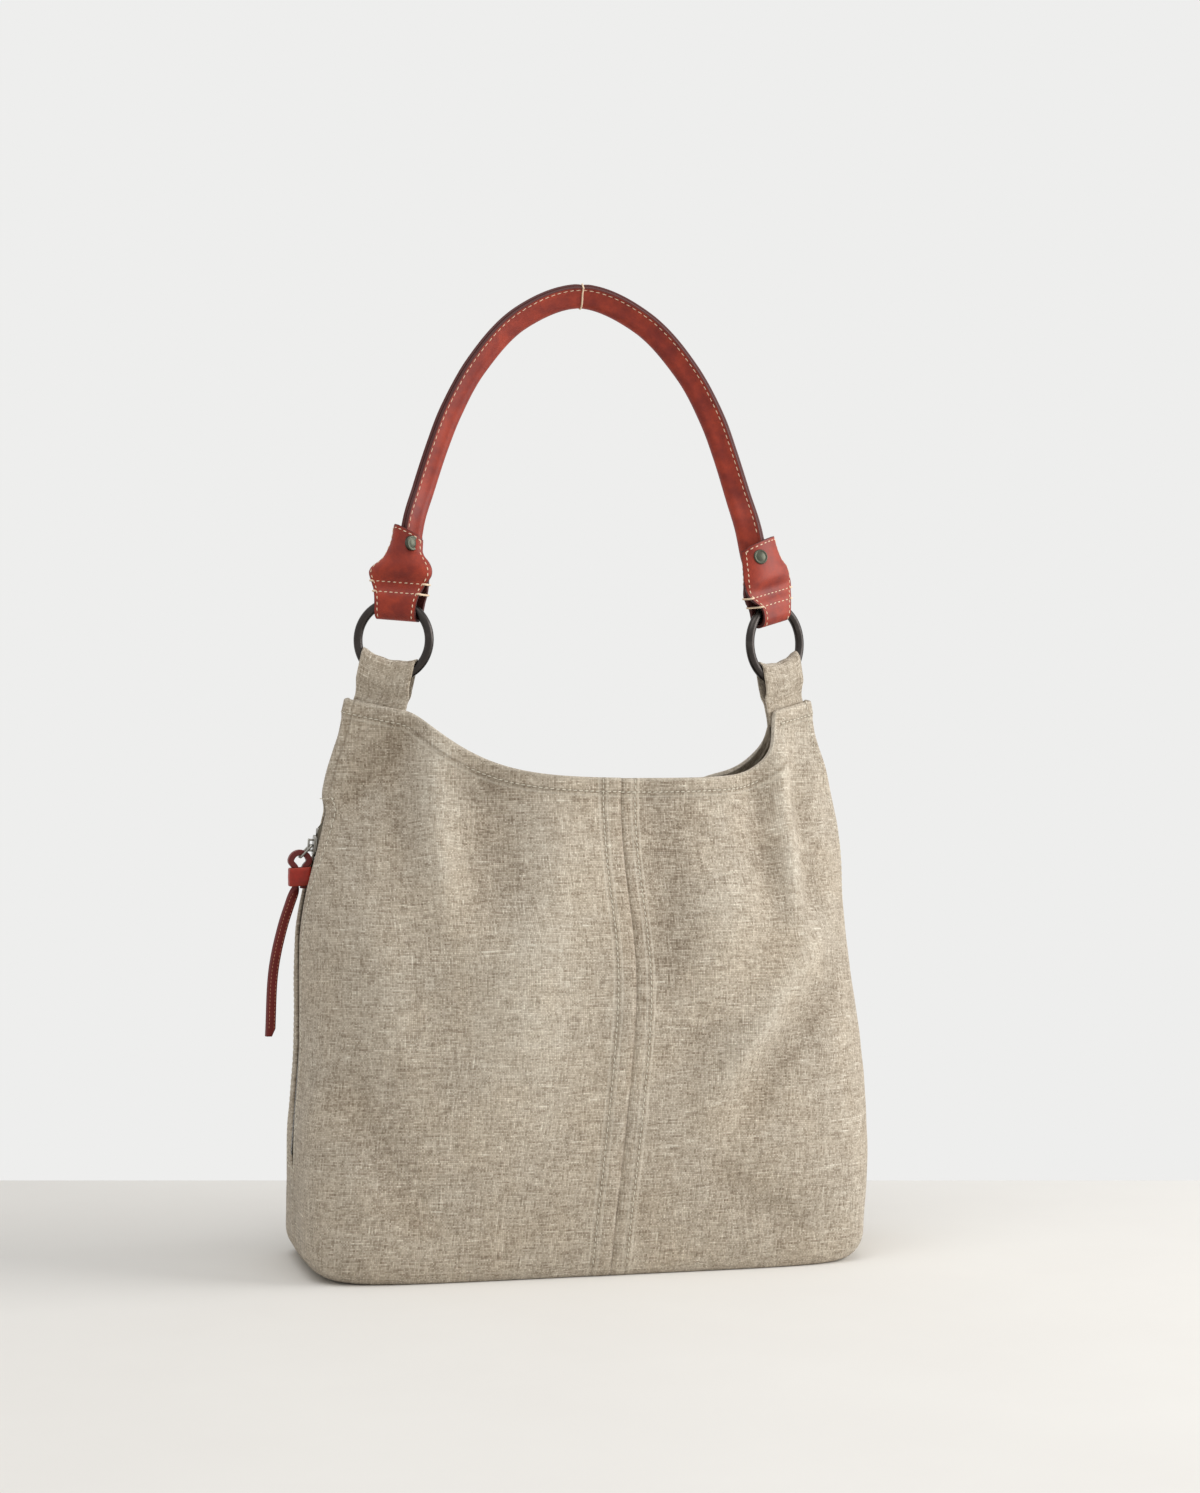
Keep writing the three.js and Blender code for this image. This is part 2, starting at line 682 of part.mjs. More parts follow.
function coverSection() {
  const slot = GAP / 2;
  const bore = CORE / 2 + 2 * GAP;
  const inner = [[bore + 1, -slot]];
  const from = Math.asin(slot / bore);
  for (let i = 0; i <= 6; i += 1) {
    const angle = mix(2 * Math.PI - from, from, i / 6);
    inner.push([bore * Math.cos(angle), bore * Math.sin(angle)]);
  }
  const tip = HANDLE_HEIGHT - HANDLE_ROUND / 2;
  return [...handleSection(0), [tip, -slot], ...inner.slice(1), [tip, slot]];
}

const HANDLE_STEPS = 36;
const POCKET_STEPS = 3;

// A section swept along the handle between two shares of its length
function handleSweep(profile, from, to, steps) {
  const rings = [];
  for (let i = 0; i <= steps; i += 1) {
    const share = mix(from, to, i / steps);
    const centre = handlePath.getPointAt(share);
    const along = handlePath.getTangentAt(share);
    const front = vec(0, -1, 0).addScaledVector(along, along.y).normalize();
    const outwards = front.clone().cross(along).normalize();
    const flange = outwards.clone().multiplyScalar(Math.cos(HANDLE_TILT))
      .addScaledVector(front, Math.sin(HANDLE_TILT));
    const across = along.clone().cross(flange).normalize();
    rings.push(profile.map(([u, v]) => centre.clone()
      .addScaledVector(flange, u).addScaledVector(across, v)));
  }
  return loft(rings);
}

const circle = (radius, sides) => Array.from({ length: sides }, (_, i) => [
  radius * Math.cos(2 * Math.PI * i / sides), radius * Math.sin(2 * Math.PI * i / sides)]);

// Rivet through the left collar: a domed cap, a shank and the burr on the other side

const rivetOut = vec(Math.sin(RIVET_FACING), -Math.cos(RIVET_FACING), 0);
const rivetShare = (RIVET_HEIGHT - HANDLE_LOW) / handlePath.getLength();
const rivetCentre = handlePath.getPointAt(rivetShare);
const rivetFrame = new THREE.Matrix4().makeBasis(
  vec(0, 0, 1).cross(rivetOut).normalize(), rivetOut, vec(0, 0, 1))
  .setPosition(rivetCentre);
const RIVET_SEAT = HANDLE_ROUND / 2 + GAP + LEATHER + GAP;
const RIVET_REACH = 2 * RIVET_SEAT;

function rivet() {
  const cap = RIVET_CAP / 2;
  const shank = RIVET_SHANK / 2;
  const profile = [[0, -RIVET_SEAT - 1], [cap * 0.8, -RIVET_SEAT - 1], [cap * 0.8, -RIVET_SEAT],
    [shank, -RIVET_SEAT], [shank, RIVET_SEAT], [cap, RIVET_SEAT], [cap, RIVET_SEAT + 0.5],
    [cap * 0.7, RIVET_SEAT + RIVET_DOME * 0.8], [0, RIVET_SEAT + RIVET_DOME]]
    .map(([r, y]) => new THREE.Vector2(r, y));
  return placed(new THREE.LatheGeometry(profile, 12), rivetFrame);
}

function rivetHole() {
  const radius = RIVET_SHANK / 2 + GAP;
  return placed(new THREE.CylinderGeometry(radius, radius, 2 * RIVET_REACH, 12), rivetFrame);
}

// Chape: lofted leather cut by the ring's slot, the handle's pocket and the rivet

const CHAPE_POINTS = 14;

function chapeRing(wide, thick, h, turn, shift = { w: 0, n: 0 }) {
  const ring = [];
  const angle = THREE.MathUtils.degToRad(turn);
  for (let i = 0; i < CHAPE_POINTS; i += 1) {
    const a = 2 * Math.PI * (i + 0.5) / CHAPE_POINTS;
    const round = (value, power) => Math.sign(value) * Math.abs(value) ** power;
    const w = wide / 2 * round(Math.cos(a), 0.3);
    const n = thick / 2 * round(Math.sin(a), 0.55);
    ring.push(ringPlace(shift.w + w * Math.cos(angle) + n * Math.sin(angle),
      shift.n + n * Math.cos(angle) - w * Math.sin(angle), RING_TOP + h));
  }
  return ring;
}

// The wire hangs lower at the chape's edges than in its middle, and swings a little
const CHAPE_DROP = RING_RADIUS - Math.sqrt(RING_RADIUS ** 2 - (CHAPE_WIDTH / 2) ** 2);
const WIRE_SLANT = RING_WIRE / 2 * RING_RADIUS / (RING_RADIUS - CHAPE_DROP);
const SLOT_HALF = RING_WIRE / 2 + GAP + Math.sin(CHAPE_SWING) * (CHAPE_DROP + WIRE_SLANT);
const SLOT_LOW = CHAPE_DROP + WIRE_SLANT + GAP - SLOT_HALF
  + Math.sin(CHAPE_SWING) * CHAPE_WIDTH / 3;

function chape() {
  const rings = [];
  for (let i = 0; i < 4; i += 1) {
    const turn = Math.PI / 2 * (i + 0.35) / 4.35;
    const half = (SLOT_HALF + LEATHER) * Math.sin(turn);
    const drop = SLOT_LOW + (SLOT_HALF + LEATHER) * Math.cos(turn);
    rings.push(chapeRing(CHAPE_WIDTH, 2 * half, -drop, 0));
  }
  rings.push(chapeRing(CHAPE_WIDTH, 2 * (SLOT_HALF + LEATHER), 0, 0));
  CHAPE_PROFILE.forEach(({ h, wide, thick, turn, w, n }) => {
    rings.push(chapeRing(wide, thick, h, turn, { w, n }));
  });
  const slot = [];
  for (const end of [-1, 1]) {
    const ring = [];
    for (let i = 0; i < 6; i += 1) {
      const turn = Math.PI * i / 5;
      ring.push([SLOT_HALF * Math.cos(turn), SLOT_HALF * Math.sin(turn)]);
    }
    for (let i = 0; i < 6; i += 1) {
      const turn = Math.PI * (1 + i / 5);
      ring.push([SLOT_HALF * Math.cos(turn), -SLOT_LOW + SLOT_HALF * Math.sin(turn)]);
    }
    slot.push(ring.map(([n, h]) => ringPlace(end * CHAPE_WIDTH, n, RING_TOP + h)));
  }
  const reach = POCKET_STEPS / HANDLE_STEPS;
  const pocket = handleSweep(handleSection(GAP), 0, reach, POCKET_STEPS);
  const entry = handleSweep(circle(CORE / 2, 8), 0, reach, POCKET_STEPS);
  return cut(loft(rings), [loft(slot), pocket, entry,
    rivetHole(), rivetSeat(1), rivetSeat(-1)]);
}

// The flats that the rivet's cap and burr lie on
function rivetSeat(way) {
  const depth = 8;
  const disc = new THREE.CylinderGeometry(RIVET_CAP / 2 + GAP, RIVET_CAP / 2 + GAP, depth, 16);
  disc.translate(0, way * (RIVET_SEAT - GAP + depth / 2), 0);
  return placed(disc, rivetFrame);
}

// Zip

const chainX = (z) => {
  const at = (height) => -(levelSection(height).left - CHAIN_FLUSH);
  return mix(at(ZIP_LOW), at(ZIP_HIGH), (z - ZIP_LOW) / (ZIP_HIGH - ZIP_LOW));
};
const chainY = (z) => {
  const at = (height) => levelSection(height).seamY;
  return mix(at(ZIP_LOW), at(ZIP_HIGH), (z - ZIP_LOW) / (ZIP_HIGH - ZIP_LOW));
};
const chainPoint = (z) => vec(chainX(z), chainY(z), z);
const chainUp = chainPoint(ZIP_HIGH).sub(chainPoint(ZIP_LOW)).normalize();
const chainOut = vec(-1, 0, 0).addScaledVector(chainUp, chainUp.x).normalize();
const chainSide = chainUp.clone().cross(chainOut).normalize();

// Place beside the chain: out of the bag, across it towards the front, and along it
function chainFrame(height) {
  return new THREE.Matrix4().makeBasis(chainOut, chainSide.clone(), chainUp)
    .setPosition(chainPoint(height));
}

const FRONT_SIDE = Math.sign(chainSide.y) * -1;

function besideChain(geometry, height, out, across, along) {
  const moved = geometry.clone();
  moved.translate(out, across * FRONT_SIDE, along);
  return placed(moved, chainFrame(height));
}

// A place on a panel's own facets: between the level rows above and below height z
function onFacets(face, column, z, inset) {
  const levels = panelRows(-1, face).heights(0);
  const above = levels.findIndex((value) => value >= z);
  const [low, high] = [levels[above - 1], levels[above]];
  const place = (height) => vec(
    ...panelPoint(levelSection(height), -1, face, column, inset), height);
  return place(low).lerp(place(high), (z - low) / (high - low));
}

function tapeHeights() {
  const zipped = panelRows(-1, -1).heights(0)
    .filter((z) => z > ZIP_LOW - 1 && z < ZIP_CLOSED - SLIDER_LONG / 2);
  return [ZIP_LOW - SLIT_END / 2, ...zipped, ZIP_CLOSED - SLIDER_LONG / 2,
    ZIP_CLOSED + SLIDER_LONG / 2, ZIP_HIGH, ZIP_HIGH + SLIT_END / 2];
}

// One side's teeth with the corded edge of the tape that they clasp
function zipTeeth(face) {
  const pointed = [];
  const count = Math.floor((ZIP_CLOSED - 5 - ZIP_LOW) / TOOTH_PITCH);
  const root = TOOTH_LONG - TOOTH_LAP;
  for (let i = 0; i < count; i += 1) {
    const middle = TOOTH_PITCH * (i + (face < 0 ? 0.25 : 0.75));
    pointed.push([CORD_EDGE, middle - TOOTH_HIGH / 2], [-TOOTH_LAP, middle - TOOTH_HIGH / 2],
      [-TOOTH_LAP, middle + TOOTH_HIGH / 2], [CORD_EDGE, middle + TOOTH_HIGH / 2]);
  }
  const top = pointed[pointed.length - 1][1] + TOOTH_HIGH / 2;
  const line = [[root, -TOOTH_HIGH], [CORD_EDGE, -TOOTH_HIGH], ...pointed,
    [CORD_EDGE, top], [root, top]];
  const shape = new THREE.Shape(line.map(([across, along]) => new THREE.Vector2(across, along)));
  const comb = new THREE.ExtrudeGeometry(shape,
    { depth: TOOTH_THICK, steps: 1, bevelEnabled: false });
  const matrix = new THREE.Matrix4().makeBasis(vec(0, face, 0), chainUp, chainOut)
    .setPosition(chainPoint(ZIP_LOW).addScaledVector(chainOut, -TOOTH_THICK / 2));
  return placed(comb, matrix);
}

function zipTape(face) {
  const columns = panelRows(-1, face).columns;
  const grid = (shift) => tapeHeights().map((z) => {
    const sewn = columns.slice(0, 3)
      .map((column) => onFacets(face, column, z, CLOTH + 3 * GAP + shift));
    const room = Math.abs(sewn[0].y - chainY(z));
    const open = z > ZIP_CLOSED ? TAPE_SPREAD : TAPE_EDGE;
    const beside = (across) => chainPoint(z).add(vec(shift - TAPE / 2, face * across, 0));
    return [beside(Math.min(open, room - 1.8)), beside(Math.min(TAPE_BEND, room - 1)), ...sewn];
  });
  return joined([sheet(grid(0), grid(TAPE)), zipTeeth(face)]);
}

// The slider's two plates stand clear of the teeth and meet at a post between the tapes
const SLIDER_CLEAR = TOOTH_THICK / 2 + GAP;
const BRIDGE_HOLE = BAIL_WIRE + 2 * GAP;
const HINGE_OUT = SLIDER_CLEAR + SLIDER_PLATE + GAP + BAIL_WIRE / 2;

function zipSlider() {
  const plate = (out) => besideChain(box(SLIDER_PLATE, SLIDER_WIDE, SLIDER_LONG), ZIP_CLOSED,
    out, 0, 0);
  const post = besideChain(box(2 * SLIDER_CLEAR + 1, 1.4, 3.4), ZIP_CLOSED, 0, 0,
    SLIDER_LONG / 2 - 2.2);
  const top = SLIDER_CLEAR + SLIDER_PLATE + BRIDGE_HOLE + BRIDGE_BAR / 2;
  const bar = besideChain(box(BRIDGE_BAR, BRIDGE_WIDE, BRIDGE_LONG), ZIP_CLOSED, top, 0, 0);
  const leg = (along) => besideChain(box(BRIDGE_HOLE + BRIDGE_BAR + 0.4, BRIDGE_WIDE, 1.2),
    ZIP_CLOSED, top - BRIDGE_HOLE / 2 - 0.2, 0, along * (BRIDGE_LONG / 2 - 0.6));
  const flank = (across) => besideChain(box(1.2, 1, SLIDER_LONG), ZIP_CLOSED,
    SLIDER_CLEAR - 0.2, across * (SLIDER_WIDE / 2 - 0.5), 0);
  return joined([plate(SLIDER_CLEAR + SLIDER_PLATE / 2), plate(-SLIDER_CLEAR - SLIDER_PLATE / 2),
    post, bar, leg(-1), leg(1), flank(-1), flank(1)]);
}

function zipStop(face) {
  return besideChain(box(TOOTH_THICK, STOP_WIDE, STOP_LONG), ZIP_CLOSED + SLIDER_LONG / 2,
    0, -face * (TAPE_SPREAD - 2 * GAP - STOP_WIDE / 2), STOP_LONG / 2 + 1);
}

// Pull: everything hangs from the bail's hinge line in the slider's bridge
const hinge = chainPoint(ZIP_CLOSED).addScaledVector(chainOut, HINGE_OUT);
const BAIL_FALL = THREE.MathUtils.degToRad(46);
const bailTip = hinge.clone().add(
  vec(-Math.cos(BAIL_FALL), 0, -Math.sin(BAIL_FALL)).multiplyScalar(BAIL_REACH));
const BAIL_HALF = STRAP_WIDE / 2 + GAP + BAIL_WIRE / 2;

function bail() {
  const bar = (from, to, wire = BAIL_WIRE) => {
    const rings = [from, to].map((p) => {
      const along = to.clone().sub(from).normalize();
      const a = vec(along.y === 0 ? 0 : 1, along.y === 0 ? 1 : 0, 0);
      const b = along.clone().cross(a).normalize();
      return circle(wire / 2, 8).map(([u, v]) => p.clone()
        .addScaledVector(a, u).addScaledVector(b, v));
    });
    return loft(rings);
  };
  const end = (p, side, over) => p.clone().add(vec(0, side * (BAIL_HALF + over), 0));
  const lap = BAIL_WIRE / 2 - 0.05;
  return joined([
    bar(end(hinge, -1, lap), end(hinge, 1, lap)),
    bar(end(bailTip, -1, lap), end(bailTip, 1, lap)),
    bar(end(hinge, -1, 0), end(bailTip, -1, 0), BAIL_SIDE_WIRE),
    bar(end(hinge, 1, 0), end(bailTip, 1, 0), BAIL_SIDE_WIRE),
  ]);
}

// The strap's middle line in the hinge's plane, from its short end over the bail to the tip
const loopCentre = bailTip.clone().add(
  vec(0, 0, -(STRAP_LOOP - STRAP_THICK / 2 - BAIL_WIRE / 2 - GAP)));
const KEEPER_TOP = -STRAP_THICK / 2 - KEEPER_BELOW_LOOP;
const STRAP_PINCH = STRAP_THICK / 2 + GAP;

function strapPath() {
  const at = (x, z) => loopCentre.clone().add(vec(x, 0, z));
  const points = [at(STRAP_PINCH, KEEPER_TOP - KEEPER_TALL - 1.5),
    at(STRAP_PINCH, KEEPER_TOP - KEEPER_TALL / 2), at(STRAP_PINCH + 0.8, KEEPER_TOP)];
  for (let i = 0; i <= 6; i += 1) {
    const turn = Math.PI * i / 6;
    points.push(at(STRAP_LOOP * Math.cos(turn), STRAP_LOOP * Math.sin(turn)));
  }
  points.push(at(-STRAP_PINCH - 0.8, KEEPER_TOP));
  STRAP_DROP.forEach(([out, down]) => points.push(at(-STRAP_PINCH - out, -down)));
  return new THREE.CatmullRomCurve3(points, false, 'centripetal');
}

function strap() {
  const path = strapPath();
  const steps = 36;
  const length = path.getLength();
  const rings = [];
  for (let i = 0; i <= steps; i += 1) {
    const share = i / steps;
    const centre = path.getPointAt(share);
    const along = path.getTangentAt(share);
    const below = loopCentre.z - centre.z;
    const late = share > 0.35 ? smooth(14, 34, below) : 0;
    const across = vec(0, -1, 0).applyAxisAngle(along, STRAP_TWIST * late);
    const face = along.clone().cross(across).normalize();
    const left = (1 - share) * length;
    const point = Math.min(1, 0.25 + left / 6);
    const half = STRAP_WIDE / 2;
    const thick = STRAP_THICK / 2;
    const corner = 0.7;
    const profile = [[-half, thick - corner], [-half + corner, thick],
      [half - corner, thick], [half, thick - corner], [half, corner - thick],
      [half - corner, -thick], [-half + corner, -thick], [-half, corner - thick]];
    rings.push(profile.map(([u, v]) => centre.clone()
      .addScaledVector(across, u > 0 ? u : u * point)
      .addScaledVector(face, v)));
  }
  return loft(rings);
}

function keeper() {
  const high = loopCentre.clone().add(vec(0, 0, KEEPER_TOP - KEEPER_TALL / 2));
  const band = (grow) => {
    const shape = new THREE.BoxGeometry(
      2 * (STRAP_PINCH + STRAP_THICK / 2 + 1.4 + grow), STRAP_WIDE + 2 * (GAP + grow),
      grow > 0 ? KEEPER_TALL : 2 * KEEPER_TALL);
    shape.translate(high.x, high.y, high.z);
    return placed(shape, new THREE.Matrix4());
  };
  return cut(band(KEEPER_THICK), [band(0)]);
}

// Materials

const linen = new THREE.MeshStandardMaterial({ color: 0xb8ae9a, roughness: 0.95 });
const webbing = new THREE.MeshStandardMaterial({ color: 0xb4aa95, roughness: 0.95 });
const leather = new THREE.MeshStandardMaterial({ color: 0xa8492f, roughness: 0.5 });
const edge = new THREE.MeshStandardMaterial({ color: 0x6e2c26, roughness: 0.55 });
const gunmetal = new THREE.MeshStandardMaterial({ color: 0x4a4642, roughness: 0.38, metalness: 0.9 });
const cord = new THREE.MeshStandardMaterial({ color: 0xd8ccb0, roughness: 0.9 });
const tape = new THREE.MeshStandardMaterial({ color: 0x8f8878, roughness: 0.9 });
const steel = new THREE.MeshStandardMaterial({ color: 0xa9a8a4, roughness: 0.35, metalness: 0.9 });

const bag = new THREE.Group();

function add(name, geometry, material) {
  const mesh = new THREE.Mesh(geometry, material);
  mesh.name = name;
  bag.add(mesh);
}

const SIDES = [['left', -1], ['right', 1]];
const onSide = (side, geometry) => (side < 0 ? geometry : mirrored(geometry));

for (const [name, side] of SIDES) {
  add(`front_panel_${name}`, panel(side, -1), linen);
  add(`back_panel_${name}`, panel(side, 1), linen);
}
add('rim_facing_front', rimFacing(-1), linen);
add('rim_facing_back', rimFacing(1), linen);

const leftTab = tab();
const leftChape = chape();
const leftRivet = rivet();
const handleHole = rivetHole();
for (const [name, side] of SIDES) {
  add(`tab_${name}`, onSide(side, leftTab), webbing);
  add(`ring_${name}`, onSide(side, leftRing), gunmetal);
  add(`chape_${name}`, onSide(side, leftChape), leather);
  add(`rivet_${name}`, onSide(side, leftRivet), gunmetal);
}
add('handle_cover', cut(handleSweep(coverSection(), 0, 1, HANDLE_STEPS),
  [handleHole, mirrored(handleHole)]), leather);
add('handle_core', cut(handleSweep(circle(CORE / 2, 6), 0, 1, HANDLE_STEPS),
  [handleHole, mirrored(handleHole)]), cord);

add('zip_tape_front', zipTape(-1), tape);
add('zip_tape_back', zipTape(1), tape);
add('zip_stop_front', zipStop(-1), steel);
add('zip_stop_back', zipStop(1), steel);
add('zip_slider', zipSlider(), steel);
add('zip_bail', bail(), steel);
add('pull_strap', strap(), edge);
add('pull_keeper', keeper(), leather);

export default bag;
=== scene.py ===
"""A washed linen shoulder bag with a folded leather handle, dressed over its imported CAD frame."""

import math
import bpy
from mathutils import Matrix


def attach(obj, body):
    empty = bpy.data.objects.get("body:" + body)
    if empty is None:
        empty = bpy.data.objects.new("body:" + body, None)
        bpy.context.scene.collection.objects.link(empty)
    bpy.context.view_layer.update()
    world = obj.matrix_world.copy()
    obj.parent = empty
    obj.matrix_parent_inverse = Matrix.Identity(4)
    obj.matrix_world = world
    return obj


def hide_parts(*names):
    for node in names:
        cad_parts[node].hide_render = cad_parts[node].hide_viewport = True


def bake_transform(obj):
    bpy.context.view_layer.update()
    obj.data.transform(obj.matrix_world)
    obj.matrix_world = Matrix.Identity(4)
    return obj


bl_info = {
    "name": "Linen Shoulder Bag",
    "version": (1, 0, 0),
    "blender": (4, 5, 0),
    "location": "View3D > Sidebar > Linen Bag",
    "description": "Builds a washed linen shoulder bag with a leather handle and a side zip",
    "category": "Object",
}

import bmesh
import bpy
import numpy as np
from mathutils import Matrix, Vector, noise

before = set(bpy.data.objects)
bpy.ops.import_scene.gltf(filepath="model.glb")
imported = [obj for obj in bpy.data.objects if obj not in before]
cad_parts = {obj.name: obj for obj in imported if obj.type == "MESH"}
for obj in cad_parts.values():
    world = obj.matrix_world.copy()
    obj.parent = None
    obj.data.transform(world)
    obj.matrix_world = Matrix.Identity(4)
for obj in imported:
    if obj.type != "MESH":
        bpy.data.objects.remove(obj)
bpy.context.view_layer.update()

MM = 0.001
GAP = 0.3
CLOTH = 1.4
HEM = 12.0

# Level sections of the body, in millimetres: the same named values as the CAD source
SECTION_Z = [17, 70, 130, 190, 214, 246, 282, 309, 330]
SECTION_LEFT = [167, 169, 166, 166, 163, 156, 150, 142, 137]
SECTION_RIGHT = [164, 169, 168, 162, 161, 160, 152, 142, 137]
SECTION_FRONT = [71, 72, 72, 70, 67, 60, 51, 47, 45]
SECTION_BACK = [69, 70, 70, 67, 62, 54, 37, 28, 24]
SECTION_SQUARE = [6.4, 4.0, 3.0, 2.5, 2.3, 2.1, 2.0, 2.0, 2.0]
SECTION_ROUND = [0.16, 0.25, 0.34, 0.42, 0.48, 0.62, 0.85, 1.0, 1.0]
CENTRE_SEAM_Z = [0, 44, 124, 172, 234, 290]
CENTRE_SEAM_X = [3, 6, 14, 17, 12.5, 12]
BASE_HALF_WIDTH = 149.0
BASE_HALF_DEPTH = 66.0
EDGE_HEIGHT = 17.0
BOTTOM_SEAM_X = 8.0
BOTTOM_SEAM_Y = 6.0
RIM_FRONT = 282.0
RIM_BACK = 278.0
RIM_FALL = {-1: 30.0, 1: 13.0}
SLOPE_LONG = 48.0
PEAK_OUTER = 328.0
PEAK_INNER = 321.0
PEAK_WIDTH = 38.0
PEAK_DEPTH = 7.7
SEAM_RETURN = 1.5
SEAM_STRAIGHT = 60.0
SEAM_SET_FORWARD = 8.0
SEAM_SET_FROM = 258.0
PEAK_SPREAD = (255.0, 306.0)
PEAK_PINCH = (262.0, 309.0)
PEAK_OPEN = 0.78
ZIP_LOW = 66.0
ZIP_HIGH = 262.0
ZIP_CLOSED = 243.0
SLIT_HALF = 7.0
SLIT_END = 14.0


def smooth(low, high, x):
    """Smooth step from 0 at low to 1 at high."""
    t = np.clip((np.asarray(x, float) - low) / (high - low), 0.0, 1.0)
    return t * t * (3.0 - 2.0 * t)


def mix(a, b, f):
    """Linear mix of two values."""
    return a * (1.0 - f) + b * f


def curve_through(knots, values):
    """Smooth curve through the values, held level beyond both ends."""
    knots = np.asarray(knots, float)
    values = np.asarray(values, float)
    before = np.maximum(np.arange(len(knots)) - 1, 0)
    after = np.minimum(np.arange(len(knots)) + 1, len(knots) - 1)
    slopes = (values[after] - values[before]) / (knots[after] - knots[before])

    def at(x):
        x = np.clip(np.asarray(x, float), knots[0], knots[-1])
        i = np.clip(np.searchsorted(knots, x, side="right") - 1, 0, len(knots) - 2)
        step = knots[i + 1] - knots[i]
        f = (x - knots[i]) / step
        rise = f * f * (3.0 - 2.0 * f)
        bend = f * (1.0 - f) ** 2 * slopes[i] - f * f * (1.0 - f) * slopes[i + 1]
        return mix(values[i], values[i + 1], rise) + step * bend

    return at


section_left, section_right, section_front, section_back, section_square, section_round = (
    curve_through(SECTION_Z, row) for row in (SECTION_LEFT, SECTION_RIGHT, SECTION_FRONT, SECTION_BACK,
                                              SECTION_SQUARE, SECTION_ROUND))
centre_seam_x = curve_through(CENTRE_SEAM_Z, CENTRE_SEAM_X)


def level_section(z):
    """What the body's outline needs at one height, in millimetres."""
    top = max(z, EDGE_HEIGHT)
    fall = min(z / EDGE_HEIGHT, 1.0)
    out = math.sqrt(max(1.0 - (1.0 - fall) ** 2, 0.0))
    pinch = float(smooth(*PEAK_PINCH, z))
    set_forward = SEAM_SET_FORWARD * float(smooth(SEAM_SET_FROM, PEAK_OUTER, z))
    return {
        "left": mix(BASE_HALF_WIDTH, float(section_left(top)), out),
        "right": mix(BASE_HALF_WIDTH, float(section_right(top)), out),
        "front": mix(BASE_HALF_DEPTH, float(section_front(top)), out),
        "back": mix(BASE_HALF_DEPTH, float(section_back(top)), out),
        "square": float(section_square(top)),
        "round": float(section_round(top)),
        "seam_y": BOTTOM_SEAM_Y * (1.0 - float(smooth(0.0, SEAM_STRAIGHT, z))) - set_forward,
        "apart": mix(2.0 * SEAM_RETURN, PEAK_DEPTH, float(smooth(*PEAK_SPREAD, z))),
        "pinch": pinch,
        "open": mix(1.0, PEAK_OPEN, pinch),
        "seam_x": float(centre_seam_x(z)),
    }


def bulge(level, x):
    """How far across its half of a level section x lies, and how full the section is there."""
    half = np.where(x < 0, level["left"], level["right"])
    t = np.minimum(np.abs(x) / half, 1.0)
    return t, (1.0 - t ** level["square"]) ** level["round"]


def front_y(level, x):
    """The front's Y at x on a level section."""
    return level["seam_y"] - level["apart"] / 2 - level["front"] * bulge(level, x)[1]


def back_y(level, x):
    """The back's Y at x on a level section."""
    t, full = bulge(level, x)
    plain = level["seam_y"] + level["apart"] / 2 + level["back"] * full
    wide = np.maximum(1.0 - (t / level["open"]) ** 2, 0.0)
    pinched = front_y(level, x) + level["apart"] + (level["front"] + level["back"]) * wide
    return mix(plain, pinched, level["pinch"])


OUTLINE_STEPS = 160


def outline(level, side, face):
    """A quarter's plan outline from its side seam to its centre seam, with running lengths."""
    half = level["left"] if side < 0 else level["right"]
    seam = level["seam_x"] if face < 0 else BOTTOM_SEAM_X
    along = 1.0 - np.cos(np.pi / 2 * np.linspace(0.0, 1.0, OUTLINE_STEPS + 1))
    x = mix(side * half, seam, along)
    y = (front_y if face < 0 else back_y)(level, x)
    x = np.concatenate([[side * half], x])
    y = np.concatenate([[level["seam_y"]], y])
    lengths = np.concatenate([[0.0], np.cumsum(np.hypot(np.diff(x), np.diff(y)))])
    return x, y, lengths


def rim_height(length, side, face):
    """Height of the rim at a running length from the side seam."""
    middle = RIM_FRONT if face < 0 else RIM_BACK
    peak = mix(PEAK_OUTER, PEAK_INNER, np.minimum(length / PEAK_WIDTH, 1.0))
    past = np.maximum(length - PEAK_WIDTH, 0.0)
    fall = np.exp(-past / RIM_FALL[side])
    if side < 0 and face < 0:
        fall = np.exp(-((past / SLOPE_LONG) ** 1.6))
    return np.where(length <= PEAK_WIDTH, peak, middle + (PEAK_INNER - middle) * fall)


def slit_half(side, z):
    """Half the width of the zip's slit in the left side seam."""
    if side > 0:
        return 0.0
    opened = smooth(ZIP_LOW - SLIT_END, ZIP_LOW, z) * (1.0 - smooth(ZIP_HIGH, ZIP_HIGH + SLIT_END, z))
    return (SLIT_HALF - GAP / 2) * float(opened)


def ridge(x, z, start, end, width, height):
    """A soft fold along a line in the front view, highest between its two ends."""
    ax, az = start
    bx, bz = end
    length = math.hypot(bx - ax, bz - az)
    ux, uz = (bx - ax) / length, (bz - az) / length
    along = (x - ax) * ux + (z - az) * uz
    across = (x - ax) * uz - (z - az) * ux
    ends = smooth(-0.15 * length, 0.25 * length, along) * smooth(1.15 * length, 0.7 * length, along)
    return height * ends * np.exp(-((across / width) ** 2))


